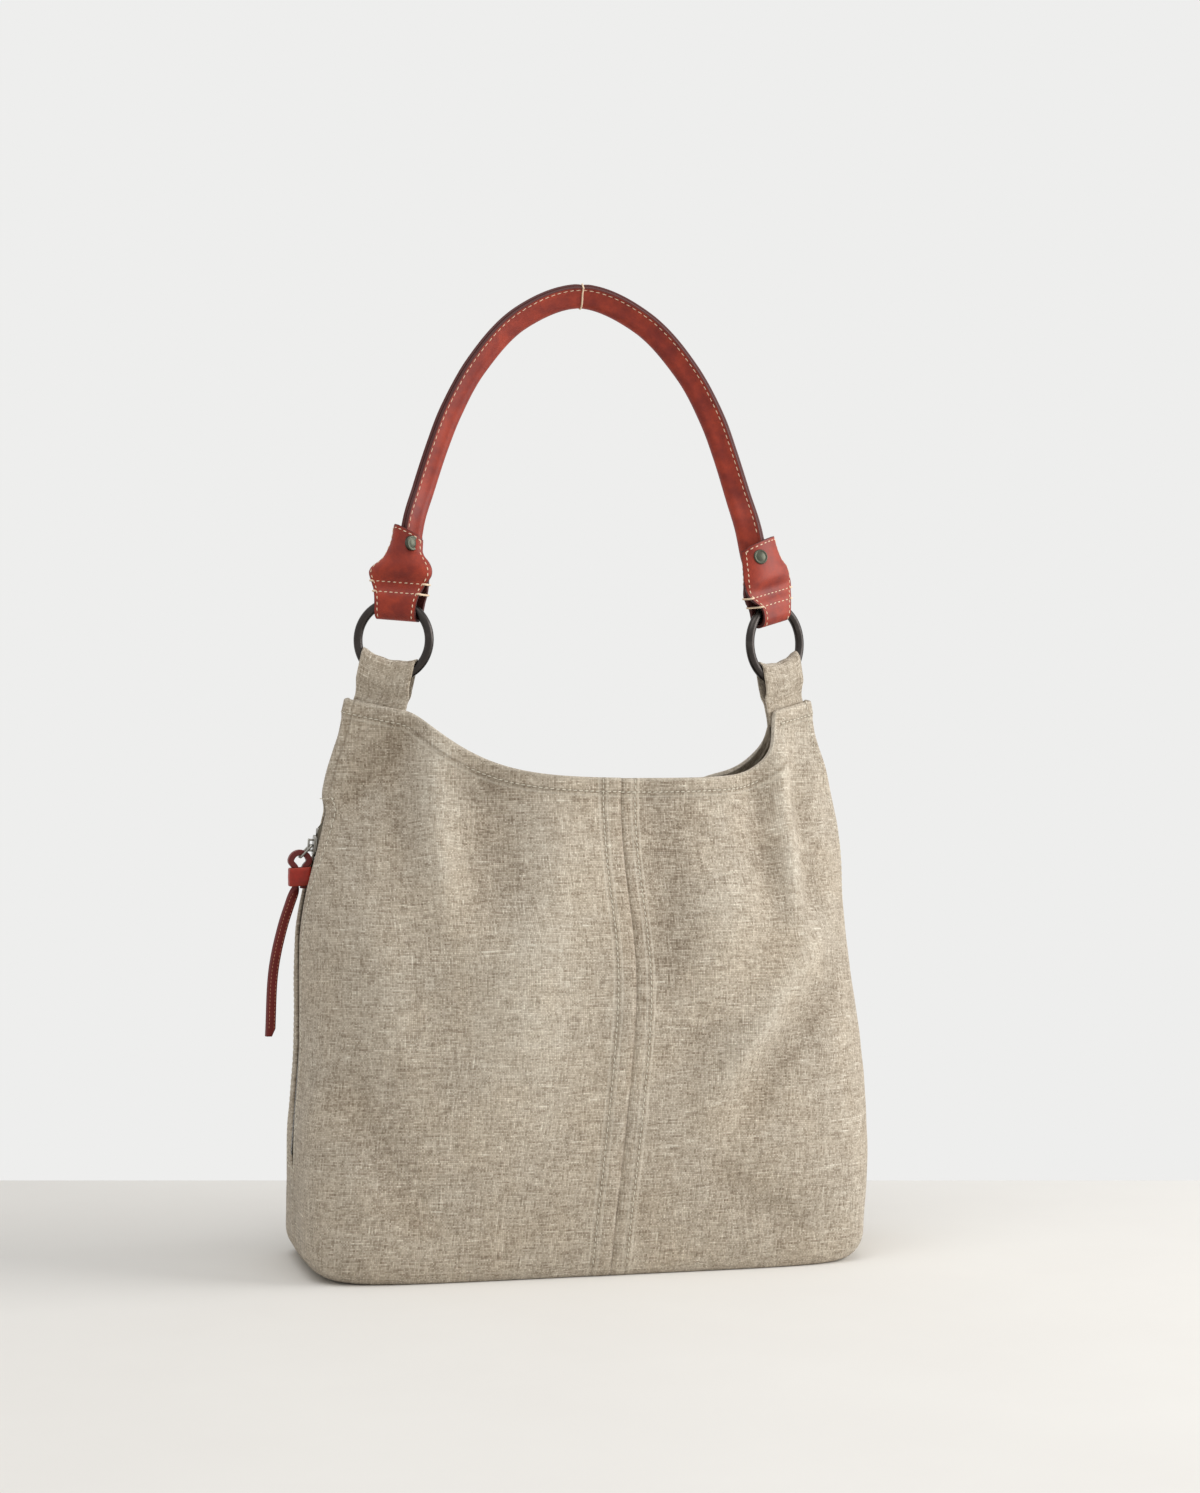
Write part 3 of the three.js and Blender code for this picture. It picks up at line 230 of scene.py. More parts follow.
# Folds of the washed cloth: start and end in x and z, half-width and height, in millimetres
FRONT_FOLDS = [
    ((-94, 320), (-90, 200), 12.0, 3.6),
    ((-112, 305), (-112, 225), 9.0, -2.2),
    ((-98, 320), (-152, 250), 9.0, -2.4),
    ((-66, 300), (-60, 190), 20.0, -3.2),
    ((30, 285), (34, 150), 24.0, -3.6),
    ((-30, 270), (-60, 60), 34.0, 2.2),
    ((74, 230), (60, 130), 26.0, 2.4),
    ((113, 306), (116, 196), 7.5, 4.2),
    ((98, 290), (100, 205), 12.0, -3.0),
    ((128, 285), (134, 190), 9.0, -2.4),
    ((140, 200), (56, 96), 8.5, 3.4),
    ((150, 172), (76, 84), 10.0, -2.8),
    ((118, 208), (34, 110), 13.0, -1.8),
    ((-150, 120), (-108, 30), 13.0, -1.8),
    ((-132, 215), (-118, 120), 14.0, 1.8),
    ((60, 60), (118, 18), 12.0, -1.5),
    ((-40, 210), (-52, 120), 22.0, 1.2),
]
BACK_FOLDS = [
    ((92, 312), (84, 205), 12.0, 3.0),
    ((70, 296), (50, 200), 15.0, -2.5),
    ((-92, 312), (-86, 215), 11.0, 3.0),
    ((-66, 296), (-48, 190), 15.0, -2.2),
    ((-140, 190), (-60, 90), 12.0, 2.6),
    ((-150, 160), (-80, 70), 13.0, -2.2),
    ((130, 170), (80, 60), 14.0, 2.2),
    ((10, 220), (24, 110), 20.0, -1.6),
]
FOLD_DEPTH = 1.5


def fold_relief(face, x, z):
    """How far the folds lift the cloth off its plain form."""
    lift = np.zeros(np.shape(x))
    for start, end, width, height in (FRONT_FOLDS if face < 0 else BACK_FOLDS):
        lift = lift + FOLD_DEPTH * ridge(x, z, start, end, width, height)
    return lift


HEM_THICK = 2.9
BASE_ROWS = 8
EDGE_ROWS = 9


def cloth_noise(points, scale, seed):
    """Smooth noise at an array of points in millimetres."""
    flat = np.reshape(points, (-1, 3)) / scale + seed
    values = [noise.noise(Vector(p)) for p in flat]
    return np.array(values).reshape(np.shape(points)[:-1])


class Quarter:
    """One of the body's four cloth panels, as a surface over running length and height."""

    def __init__(self, side, face):
        self.side = side
        self.face = face
        turn = np.linspace(0.0, np.pi / 2, 12)
        self.z = np.concatenate([EDGE_HEIGHT * (1.0 - np.cos(turn)), np.arange(18.5, 331.0, 1.5)])
        self.share = np.linspace(0.0, 1.0, 181)
        tables = []
        for z in self.z:
            x, y, run = outline(level_section(z), side, face)
            even = self.share * run[-1]
            tables.append((np.interp(even, run, x), np.interp(even, run, y), run[-1]))
        self.x = np.array([t[0] for t in tables])
        self.y = np.array([t[1] for t in tables])
        self.length = np.array([t[2] for t in tables])
        self.slit = np.array([slit_half(side, z) for z in self.z])
        self.rim_length = self.total(300.0)

    def total(self, z):
        """Running length of a level from the side seam to the centre seam."""
        return np.interp(z, self.z, self.length)

    def first(self, z):
        """Running length at which the cloth starts beside the side seam or the slit."""
        return np.interp(z, self.z, self.slit)

    def plain(self, length, z):
        """Points of the smooth form at running lengths and heights."""
        length, z = np.broadcast_arrays(np.asarray(length, float), np.asarray(z, float))
        i = np.clip(np.searchsorted(self.z, z, side="right") - 1, 0, len(self.z) - 2)
        f = np.clip((z - self.z[i]) / (self.z[i + 1] - self.z[i]), 0.0, 1.0)
        total = mix(self.length[i], self.length[i + 1], f)
        at = np.clip(length / total, 0.0, 1.0) * (len(self.share) - 1)
        j = np.clip(at.astype(int), 0, len(self.share) - 2)
        g = at - j

        def read(table):
            low = mix(table[i, j], table[i, j + 1], g)
            high = mix(table[i + 1, j], table[i + 1, j + 1], g)
            return mix(low, high, f)

        return np.stack([read(self.x), read(self.y), z], axis=-1)

    def normal(self, length, z):
        """Outward directions of the smooth form."""
        step = 1.5
        length = np.clip(length, step, self.total(z) - step)
        z = np.clip(z, 3.0, 326.0)
        along = self.plain(length + step, z) - self.plain(length - step, z)
        up = self.plain(length, z + step) - self.plain(length, z - step)
        out = np.cross(along, up) * (self.side * self.face)
        return out / np.linalg.norm(out, axis=-1, keepdims=True)

    def relief(self, points, edge, centre, rim):
        """How far the washed cloth stands off the smooth form at each point."""
        x, z = points[..., 0], points[..., 2]
        lift = fold_relief(self.face, x, z) * smooth(6.0, 26.0, edge)
        lift = lift + 0.9 * cloth_noise(points, 55.0, 3.7) + 0.35 * cloth_noise(points, 17.0, 8.1)
        lift = lift * smooth(4.0, 20.0, z)
        bulk = 0.8 * smooth(12.0, 9.0, centre) + 0.5 * smooth(11.0, 8.5, edge)
        groove = 1.2 * np.exp(-((centre / 1.3) ** 2)) + 0.8 * np.exp(-((edge / 1.3) ** 2))
        hem = 0.8 * smooth(9.6, 8.4, rim) + 0.8 * smooth(PEAK_INNER - 16.0, PEAK_INNER - 2.0, z)
        wave = 0.5 * np.sin(x / 7.5 + 2.0 * np.sin(x / 23.0)) * smooth(16.0, 2.0, rim)
        quiet = smooth(2.0, 12.0, edge) if self.side < 0 else 1.0
        return lift * mix(0.35, 1.0, quiet) + bulk - groove + hem + wave * smooth(20.0, 60.0, edge)

    def cloth(self, length, z, lift=0.0):
        """Points on the washed cloth, lifted off it, with their outward directions."""
        length, z = np.broadcast_arrays(np.asarray(length, float), np.asarray(z, float))
        plain = self.plain(length, z)
        out = self.normal(length, z)
        mark = length / self.total(z) * self.rim_length
        rim = rim_height(mark, self.side, self.face) - z
        rise = self.relief(plain, length - self.first(z), self.total(z) - length, rim)
        return plain + out * (rise + lift)[..., None], out


QUARTERS = {
    (side, face): Quarter(side, face) for side in (-1, 1) for face in (-1, 1)
}


def panel_rows(quarter, columns, wall_rows):
    """Rows of points, outward directions and cloth distances from the base seam to the rim."""
    share = np.linspace(0.0, 1.0, columns + 1)
    share = mix(share, 0.5 - 0.5 * np.cos(np.pi * share), 0.45)
    mark = share * quarter.rim_length
    top = rim_height(mark, quarter.side, quarter.face)
    slope = np.gradient(top, mark)
    seam_y = level_section(0.0)["seam_y"]
    rows = {name: [] for name in ("point", "out", "u", "v", "rim", "edge", "centre")}

    def add(length, z, v, point=None, out=None):
        edge = length - quarter.first(z)
        centre = quarter.total(z) - length
        rim = (top - z) / np.hypot(1.0, slope)
        if point is None:
            out = quarter.normal(length, z)
            plain = quarter.plain(length, z)
            point = plain + out * quarter.relief(plain, edge, centre, rim)[..., None]
        for name, value in zip(rows, (point, out, centre, v, rim, edge, centre)):
            rows[name].append(np.array(value, float))

    down = np.tile([0.0, 0.0, -1.0], (columns + 1, 1))
    zero = np.zeros(columns + 1)
    foot = share * quarter.total(0.0)
    under = quarter.plain(foot, zero)
    for i in range(BASE_ROWS):
        part = i / BASE_ROWS
        point = under.copy()
        point[:, 1] = mix(seam_y, under[:, 1], part)
        reach = np.abs(under[:, 1] - seam_y) * (1.0 - part)
        add(foot, zero, -reach - 1.4 * EDGE_HEIGHT, point, down)
    for i in range(EDGE_ROWS):
        angle = math.pi / 2 * i / EDGE_ROWS
        z = zero + EDGE_HEIGHT * (1.0 - math.cos(angle))
        length = mix(quarter.first(z), quarter.total(z), share)
        plain = quarter.plain(length, z)
        side_out = quarter.normal(length, zero + EDGE_HEIGHT)
        out = side_out * math.sin(angle) + down * math.cos(angle)
        edge, centre = length - quarter.first(z), quarter.total(z) - length
        rise = quarter.relief(plain, edge, centre, zero + 99.0) * math.sin(angle)
        add(length, z, zero - 1.4 * EDGE_HEIGHT * (1.0 - i / EDGE_ROWS), plain + out * rise[:, None], out)
    for i in range(wall_rows + 1):
        z = mix(zero + EDGE_HEIGHT, top - HEM_THICK / 2, (i / wall_rows) ** 0.94)
        length = mix(quarter.first(z), quarter.total(z), share)
        add(length, z, z - EDGE_HEIGHT)
    return {name: np.array(values) for name, values in rows.items()}


def link_object(name, mesh):
    """Put a mesh into the scene as an object at the origin."""
    made = bpy.data.objects.new(name, mesh)
    bpy.context.scene.collection.objects.link(made)
    return made


def closed_piece(name, points, faces, fields, uv=None):
    """A closed piece from points in millimetres, with point attributes and the weave's places."""
    mesh = bpy.data.meshes.new(name)
    mesh.from_pydata((points * MM).tolist(), [], faces)
    for key, values in fields.items():
        attribute = mesh.attributes.new(key, "FLOAT", "POINT")
        attribute.data.foreach_set("value", values.astype(np.float32).ravel())
    if uv is not None:
        layer = mesh.uv_layers.new(name="weave")
        corner = np.zeros(len(mesh.loops), np.int32)
        mesh.loops.foreach_get("vertex_index", corner)
        layer.data.foreach_set("uv", (uv[corner] * MM).astype(np.float32).ravel())
    mesh.update()
    made = link_object(name, mesh)
    fix_normals(made)
    return made


def dress(made, material):
    """Give a piece its finish."""
    made.data.materials.append(finish_of(material))
    return made


def sheet_mesh(name, outer, inner, fields, uv=None):
    """A closed sheet from two equal grids of points in millimetres, with point attributes."""
    rows, columns = outer.shape[:2]
    count = rows * columns
    points = np.concatenate([outer.reshape(-1, 3), inner.reshape(-1, 3)])
    index = np.arange(count).reshape(rows, columns)
    a, b = index[:-1, :-1].ravel(), index[:-1, 1:].ravel()
    c, d = index[1:, 1:].ravel(), index[1:, :-1].ravel()
    front = np.stack([a, b, c, d], axis=1)
    back = front[:, ::-1] + count
    border = list(index[0, :]) + list(index[1:, -1]) + list(index[-1, -2::-1]) + list(index[-2:0:-1, 0])
    border = np.array(border)
    after = np.roll(border, -1)
    rim = np.stack([after, border, border + count, after + count], axis=1)
    fields = {key: np.tile(values.reshape(-1), 2) for key, values in fields.items()}
    uv = None if uv is None else np.tile(uv.reshape(-1, 2), (2, 1))
    return closed_piece(name, points, np.concatenate([front, back, rim]).tolist(), fields, uv)


def fix_normals(thing):
    """Point every face outwards and shade it smooth."""
    work = bmesh.new()
    work.from_mesh(thing.data)
    bmesh.ops.recalc_face_normals(work, faces=work.faces)
    volume = work.calc_volume(signed=True)
    if volume < 0:
        bmesh.ops.reverse_faces(work, faces=work.faces)
    for face in work.faces:
        face.smooth = True
    work.to_mesh(thing.data)
    work.free()


class Socket:
    """A node's output that takes part in plain Python sums."""

    def __init__(self, tree, link):
        self.tree = tree
        self.link = link

    def _math(self, operation, *values):
        return self.tree.add("ShaderNodeMath", {"operation": operation}, values)

    def sin(self):
        """Sine of the value."""
        return self._math("SINE", self)

    def floor(self):
        """Whole part of the value."""
        return self._math("FLOOR", self)

    def modulo(self, size):
        """Remainder of the value over size."""
        return self._math("FLOORED_MODULO", self, size)

    def abs(self):
        """Size of the value without its sign."""
        return self._math("ABSOLUTE", self)

    def limit(self):
        """The value held between 0 and 1."""
        return self.tree.add("ShaderNodeClamp", {}, [self, 0.0, 1.0])

    def step(self, low, high):
        """Smooth step from 0 at low to 1 at high."""
        return self.tree.add("ShaderNodeMapRange", {"interpolation_type": "SMOOTHSTEP"},
                             [self, low, high, 0.0, 1.0])

    def bell(self, centre, width):
        """1 at the centre, falling to 0 a width away."""
        return 1.0 - ((self - centre).abs()).step(0.0, width)


for sign, operation in (("add", "ADD"), ("sub", "SUBTRACT"), ("mul", "MULTIPLY"),
                        ("truediv", "DIVIDE"), ("pow", "POWER")):
    setattr(Socket, f"__{sign}__", lambda self, other, kind=operation: self._math(kind, self, other))
    setattr(Socket, f"__r{sign}__", lambda self, other, kind=operation: self._math(kind, other, self))


class Finish:
    """A material's node tree, written as Python expressions."""

    def __init__(self, name):
        self.material = bpy.data.materials.new(name)
        self.material.use_nodes = True
        self.nodes = self.material.node_tree.nodes
        self.links = self.material.node_tree.links
        self.nodes.clear()
        self.shader = self.nodes.new("ShaderNodeBsdfPrincipled")
        self.output = self.nodes.new("ShaderNodeOutputMaterial")
        self.links.new(self.shader.outputs[0], self.output.inputs["Surface"])

    def put(self, socket, value):
        """Link or set one input."""
        if isinstance(value, Socket):
            self.links.new(value.link, socket)
        elif value is not None:
            socket.default_value = value

    def add(self, kind, settings, values=(), output=0):
        """Add any node: its settings first, then its inputs, as a list or by name."""
        node = self.nodes.new(kind)
        for key, value in settings.items():
            if key == "stops":
                ramp = node.color_ramp.elements
                while len(ramp) < len(value):
                    ramp.new(0.5)
                for element, (place, colour) in zip(ramp, value):
                    element.position = place
                    element.color = (*colour, 1.0)
            else:
                setattr(node, key, value)
        if isinstance(values, dict):
            for key, value in values.items():
                self.put(node.inputs[key], value)
        else:
            for i, value in enumerate(values):
                self.put(node.inputs[i], value)
        return Socket(self, node.outputs[output])

    def place(self):
        """Object coordinates."""
        return self.add("ShaderNodeTexCoord", {}, output="Object")

    def field(self, name):
        """A point attribute of the piece."""
        return self.add("ShaderNodeAttribute", {"attribute_name": name}, output="Fac")

    def weave_place(self):
        """The cloth's own running lengths, as two values in millimetres."""
        uv = self.add("ShaderNodeUVMap", {"uv_map": "weave"})
        split = self.nodes.new("ShaderNodeSeparateXYZ")
        self.links.new(uv.link, split.inputs[0])
        return Socket(self, split.outputs[0]) * 1000.0, Socket(self, split.outputs[1]) * 1000.0

    def vector(self, x, y, z=0.0):
        """Three values as a vector."""
        return self.add("ShaderNodeCombineXYZ", {}, [x, y, z])

    def scaled(self, vector, x, y, z):
        """A vector times a size on each axis."""
        return self.add("ShaderNodeMapping", {},
                        {"Vector": vector, "Scale": (x, y, z)})

    def noise(self, vector, scale, detail=2.0, roughness=0.5, distortion=0.0):
        """Noise between about 0 and 1."""
        return self.add("ShaderNodeTexNoise", {"noise_dimensions": "3D"},
                        {"Vector": vector, "Scale": scale, "Detail": detail,
                         "Roughness": roughness, "Distortion": distortion})

    def random(self, vector):
        """A different value for each whole-numbered place."""
        return self.add("ShaderNodeTexWhiteNoise", {"noise_dimensions": "3D"}, {"Vector": vector})

    def blend(self, factor, first, second, kind="MIX"):
        """Mix two colours."""
        node = self.nodes.new("ShaderNodeMix")
        node.data_type = "RGBA"
        node.blend_type = kind
        colours = [c for c in node.inputs if c.type == "RGBA"]
        self.put(node.inputs["Factor"], factor)
        self.put(colours[0], first if isinstance(first, Socket) else (*first, 1.0))
        self.put(colours[1], second if isinstance(second, Socket) else (*second, 1.0))
        return Socket(self, [c for c in node.outputs if c.type == "RGBA"][0])

    def bump(self, height, distance, strength=1.0, normal=None):
        """Turn a height into a normal; distance is in metres."""
        return self.add("ShaderNodeBump", {},
                        {"Strength": strength, "Distance": distance, "Height": height,
                         "Normal": normal})

    def surface(self, colour, roughness, normal=None, metallic=0.0, **constants):
        """Fill the main shader's sockets."""
        inputs = self.shader.inputs
        self.put(inputs["Base Color"], colour if isinstance(colour, Socket) else (*colour, 1.0))
        self.put(inputs["Roughness"], roughness)
        self.put(inputs["Metallic"], metallic)
        self.put(inputs["Normal"], normal)
        for name, value in constants.items():
            inputs[name.replace("_", " ")].default_value = value
        return self.material


def srgb(red, green, blue):
    """A colour written in 0 to 255 steps, as linear values."""
    def linear(value):
        value /= 255.0
        return value / 12.92 if value <= 0.04045 else ((value + 0.055) / 1.055) ** 2.4
    return linear(red), linear(green), linear(blue)


# How far the linen's threads wander, and where and how wide the cloth sinks and puckers beside
# its stitching, in millimetres
THREAD_WANDER = 5.0
FURROW_WIDE = 1.1
PUCKER_OUT = 2.3
# Depths of the finishes' relief, in metres
CRINKLE_DEPTH = 0.0016
FURROW_DEPTH = 0.0005
WEAVE_DEPTH = 0.00028
THREAD_DEPTH = 0.0001
LEATHER_DEPTH = 0.00009
SCRATCH_DEPTH = 0.00004
# Noise scales of the finishes' grain
THREAD_GRAIN = 900.0
LEATHER_CLOUD = 95.0
LEATHER_PORES = 1500.0
LEATHER_CREASES = 420.0
METAL_CLOUD = 160.0
METAL_SCRATCH = 900.0


def linen_finish(name, pitch, pale, mid, dark):
    """Washed plain-weave flax: single threads, slubs, gaps, patches and furrows at the stitching, with
    painted shade in the furrows, painted highlights on the puckers and the rim's edge, and painted light and
    shade on the folds.
    """
    f = Finish(name)
    u, v = f.weave_place()
    flat = f.vector(u, v)
    rim, edge, centre = (f.field(row) for row in ("rim_row", "edge_row", "centre_row"))

    def cloud(x, y, detail, roughness=0.5):
        return f.noise(f.scaled(flat, x, y, 1.0), 1.0, detail, roughness)

    across = (u + (cloud(0.06, 0.02, 1.0) - 0.5) * THREAD_WANDER) / pitch
    along = (v + (cloud(0.02, 0.06, 1.0) - 0.5) * THREAD_WANDER) / pitch
    warp, weft = across.floor(), along.floor()
    over = (warp + weft).modulo(2.0)
    warp_tone = f.noise(f.vector(warp * 7.31, v * 0.09, 0.0), 1.0, 2.0)
    weft_tone = f.noise(f.vector(u * 0.09, weft * 5.17, 9.0), 1.0, 2.0)
    tone = over * warp_tone + (1.0 - over) * weft_tone
    slub = (warp_tone.step(0.67, 0.78) * 0.6 + weft_tone.step(0.65, 0.77)).limit()
    plaid = warp_tone * 0.45 + weft_tone * 0.55
    round_u = ((across - warp) * math.pi).sin()
    round_v = ((along - weft) * math.pi).sin()
    crown = (round_u * round_v).limit() ** 0.5
    speck = f.random(f.vector(warp, weft, 3.0))
    fibre = over * cloud(2.6, 0.6, 2.0, 0.7) + (1.0 - over) * cloud(0.6, 2.6, 2.0, 0.7)
    patches = cloud(0.022, 0.022, 3.0, 0.6)
    worn = cloud(0.11, 0.11, 3.0, 0.65)
    light = (tone - 0.5) * 0.6 + (plaid - 0.5) * 1.0 + (speck - 0.5) * 0.35 + (worn - 0.5) * 0.3
    light = light + 0.54 - (1.0 - crown) * 0.26 + slub * 0.2 + (fibre - 0.5) * 0.4
    # Painted light and shade: the fold field lightens the folds' crests and darkens their valleys
    light = light + f.field("fold") * 0.16
    body = f.add("ShaderNodeValToRGB", {"stops": [(0.0, dark), (0.5, mid), (1.0, pale)]}, [light])
    warm = f.blend(patches.step(0.35, 0.7), (0.985, 0.99, 1.0), (1.012, 1.0, 0.985))
    colour = f.blend(1.0, body, warm, "MULTIPLY")
    # Painted highlight: a pale band along the rim's folded top edge
    rim_highlight = rim.bell(-8.0, 2.5) * 0.35
    furrow = (rim.bell(0.0, FURROW_WIDE) + edge.bell(0.0, FURROW_WIDE)
              + centre.bell(0.0, FURROW_WIDE)).limit()
    # Painted highlight: the cloth beside the centre seam's and the rim's stitching is lightened as if its
    # puckers caught the light
    pucker = (centre.bell(PUCKER_OUT, FURROW_WIDE) + centre.bell(-PUCKER_OUT, FURROW_WIDE)
              + rim.bell(PUCKER_OUT, FURROW_WIDE)).limit()
    # Painted highlight on the rim's edge and the puckers, towards the pale linen
    colour = f.blend((rim_highlight + pucker * 0.3).limit(), colour, pale)
    # Painted shade: the stitch furrows are darkened towards the dark linen
    colour = f.blend(furrow * 0.4, colour, dark)
    crinkle = cloud(0.16, 0.16, 3.0, 0.6)
    fuzz = cloud(1.9, 1.9, 2.0, 0.6)
    height = crown * (0.7 + 0.3 * tone) + fuzz * 0.35 + slub * 0.5
    normal = f.bump(crinkle, CRINKLE_DEPTH, 0.55)
    normal = f.bump(1.0 - furrow, FURROW_DEPTH, 0.7, normal)
    normal = f.bump(height, WEAVE_DEPTH, 0.9, normal)
    return f.surface(colour, 0.93 - 0.05 * tone, normal, Sheen_Weight=0.12,
                     Sheen_Roughness=0.5, Specular_IOR_Level=0.2)


def thread_finish(name, colour):
    """Waxed sewing thread with a fine twist."""
    f = Finish(name)
    place = f.place()
    tone = f.noise(place, THREAD_GRAIN, 2.0)
    shade = f.blend(tone, tuple(c * 0.78 for c in colour), tuple(min(c * 1.12, 1.0) for c in colour))
    return f.surface(shade, 0.6 + 0.2 * tone, f.bump(tone, THREAD_DEPTH, 0.5), Specular_IOR_Level=0.35)


def tape_finish(name, colour):
    """Herringbone zip tape woven of fine cotton."""
    f = Finish(name)
    u, v = f.weave_place()
    rib = ((u * 2.4 + ((v * 0.18).sin() * 0.6)) * math.pi).sin() * 0.5 + 0.5
    pick = ((v * 3.4) * math.pi).sin() * 0.5 + 0.5
    cloud = f.noise(f.vector(u * 0.1, v * 0.1), 1.0, 2.0)
    weave = rib * pick
    shade = f.blend((weave * 0.7 + cloud * 0.4).limit(), tuple(c * 0.6 for c in colour), colour)
    return f.surface(shade, 0.85, f.bump(weave, THREAD_DEPTH, 0.6), Specular_IOR_Level=0.25)


def leather_finish(name, base, shade, edge):
    """Smooth vegetable-tanned leather: pores, clouding and burnished darker edges, whose dark colour is also
    painted shade on the leather ends' inner faces.
    """
    f = Finish(name)
    place = f.place()
    cloud = f.noise(place, LEATHER_CLOUD, 3.0, 0.6)
    pores = f.noise(place, LEATHER_PORES, 3.0, 0.6)
    creases = f.noise(f.scaled(place, 1.0, 1.0, 0.45), LEATHER_CREASES, 3.0, 0.62, 0.4)
    colour = f.blend(cloud.step(0.25, 0.8), shade, base)
    colour = f.blend((1.0 - pores.step(0.35, 0.62)) * 0.22, colour, shade)
    # The edge field marks burnished edges, and on the leather ends' inner faces painted shade between the
    # layers
    colour = f.blend(f.field("edge").limit(), colour, edge)
    roughness = 0.40 + 0.16 * pores + 0.10 * cloud
    normal = f.bump(pores * 0.6 + creases * 0.8, LEATHER_DEPTH, 0.7)
    return f.surface(colour, roughness, normal, Specular_IOR_Level=0.32,
                     Coat_Weight=0.04, Coat_Roughness=0.35)


def metal_finish(name, base, worn, roughness):
    """Plated metal, clouded at random between its colour and a second tone, with fine scratches in its gloss
    and relief.
    """
    f = Finish(name)
    place = f.place()
    cloud = f.noise(place, METAL_CLOUD, 3.0, 0.6)
    scratch = f.noise(f.scaled(place, 1.0, 1.0, 6.0), METAL_SCRATCH, 2.0, 0.6)
    colour = f.blend(cloud.step(0.45, 0.8) * 0.6, base, worn)
    gloss = roughness + 0.14 * (cloud - 0.5) + 0.12 * (scratch - 0.5)
    return f.surface(colour, gloss, f.bump(scratch, SCRATCH_DEPTH, 0.4), metallic=1.0)


def settle(piece, body, slot, *nodes):
    """Ride on a body and stand for CAD nodes; its slot is not used."""
    if nodes:
        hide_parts(*nodes)
    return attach(piece, body)


MATERIALS = {}
STITCH_TREE = "Stitches along lines"
TEETH_TREE = "Zip teeth along a line"
STITCH_SEED = 7


def finish_of(name):
    """The shared materials, each made once."""
    if name in MATERIALS:
        return MATERIALS[name]
    colours = bpy.context.scene.linen_bag_colours

    def dye(key, share=1.0):
        return tuple(c * share for c in getattr(colours, key))

    pitch = bpy.context.scene.linen_bag_sizes.thread_pitch
    recipes = {
        "Washed linen": (linen_finish, pitch, dye("linen_pale"), dye("linen"), dye("linen_dark")),
        "Red leather": (leather_finish, dye("leather"), dye("leather_shade"), dye("leather_edge_and_shade")),
        "Burgundy leather": (leather_finish, dye("strap"), dye("strap", 0.72), dye("strap", 0.6)),
        "Keeper leather": (leather_finish, dye("keeper"), dye("leather_shade"), dye("leather")),
        "Cream thread": (thread_finish, dye("thread")),
        "Linen thread": (thread_finish, dye("linen_thread")),
        "Strap thread": (thread_finish, dye("strap_thread")),
        "Zip tape": (tape_finish, dye("zip_tape")),
        "Dark ring metal": (metal_finish, dye("ring"), dye("ring", 1.7), 0.36),
        "Antique rivet metal": (metal_finish, dye("rivet"), dye("rivet", 1.6), 0.42),
        "Dark zip teeth": (metal_finish, dye("zip_teeth"), dye("zip_teeth", 1.8), 0.38),
        "Pale zip metal": (metal_finish, dye("zip_metal"), dye("zip_metal", 0.7), 0.32),
    }
    maker, *values = recipes[name]
    MATERIALS[name] = maker(name, *values)
    return MATERIALS[name]


# How far the stitch rows lie from the edges and seams they hold, in millimetres
RIM_STITCH = 8.0
EDGE_STITCH = 8.0
CENTRE_STITCH = {-1: 11.0, 1: 8.5}


def body_panel(name, side, face, columns, wall_rows):
    """One cloth panel with its wall, its share of the base and its turned rim."""
    quarter = QUARTERS[side, face]
    rows = panel_rows(quarter, columns, wall_rows)
    outer, out = rows["point"], rows["out"]
    inner = outer - out * CLOTH
    top, under = outer[-1], outer[-1] - out[-1] * HEM_THICK
    inner[-1] = under
    crest = []
    for i in range(1, 8):
        angle = math.pi * i / 8
        middle = (top + under) / 2
        lift = np.array([0.0, 0.0, HEM_THICK / 2 * math.sin(angle)])
        crest.append(middle + (top - middle) * math.cos(angle) + lift)
    half = len(crest) // 2
    outer = np.concatenate([outer, crest[:half + 1]])
    inner = np.concatenate([inner, crest[:half:-1], crest[half:half + 1]])
    extra = half + 1
    fields = {}
    offsets = {"rim_row": ("rim", RIM_STITCH), "edge_row": ("edge", EDGE_STITCH),
               "centre_row": ("centre", CENTRE_STITCH[side] if face < 0 else CENTRE_STITCH[1])}
    for key, (source, offset) in offsets.items():
        values = rows[source] - offset
        fields[key] = np.concatenate([values, np.repeat(values[-1:], extra, axis=0)])
    # Painted light and shade: how high each fold lifts the cloth, read by the finish to lighten crests and
    # darken valleys
    lift = fold_relief(face, rows["point"][..., 0], rows["point"][..., 2]) / 5.0
    fields["fold"] = np.concatenate([lift, np.repeat(lift[-1:], extra, axis=0)])
    u, v = rows["u"] * side * -1.0 + face * 400.0, rows["v"] + side * 0.35
    uv = np.stack([np.concatenate([u, np.repeat(u[-1:], extra, axis=0)]),
                   np.concatenate([v, v[-1:] + np.arange(1, extra + 1)[:, None]])], axis=-1)
    return dress(sheet_mesh(name, outer, inner, fields, uv), "Washed linen")


# The rings' frame, measured on the left; the right side is its mirror image
WEBBING = 1.5
LEATHER = 1.9
RING_BORE = 38.0
RING_WIRE = 5.2
RING_RISE = 37.3
RING_RADIUS = (RING_BORE + RING_WIRE) / 2
RING_TOP = RING_RISE + RING_RADIUS
LEAN = math.radians(13.0)
TAB_WIDTH = 33.0
TAB_LEG = 13.0
TAB_SAG = 3.4
TAB_SIDE = 3.6
TAB_MIDDLE = TAB_SIDE + TAB_WIDTH / 2
TAB_CLEAR = RING_WIRE / 2 + GAP
PEAK_MIDDLE = (PEAK_OUTER + PEAK_INNER) / 2
UP = np.array([0.0, 0.0, 1.0])


def unit(vectors):
    """Vectors brought to length 1."""
    return vectors / np.linalg.norm(vectors, axis=-1, keepdims=True)


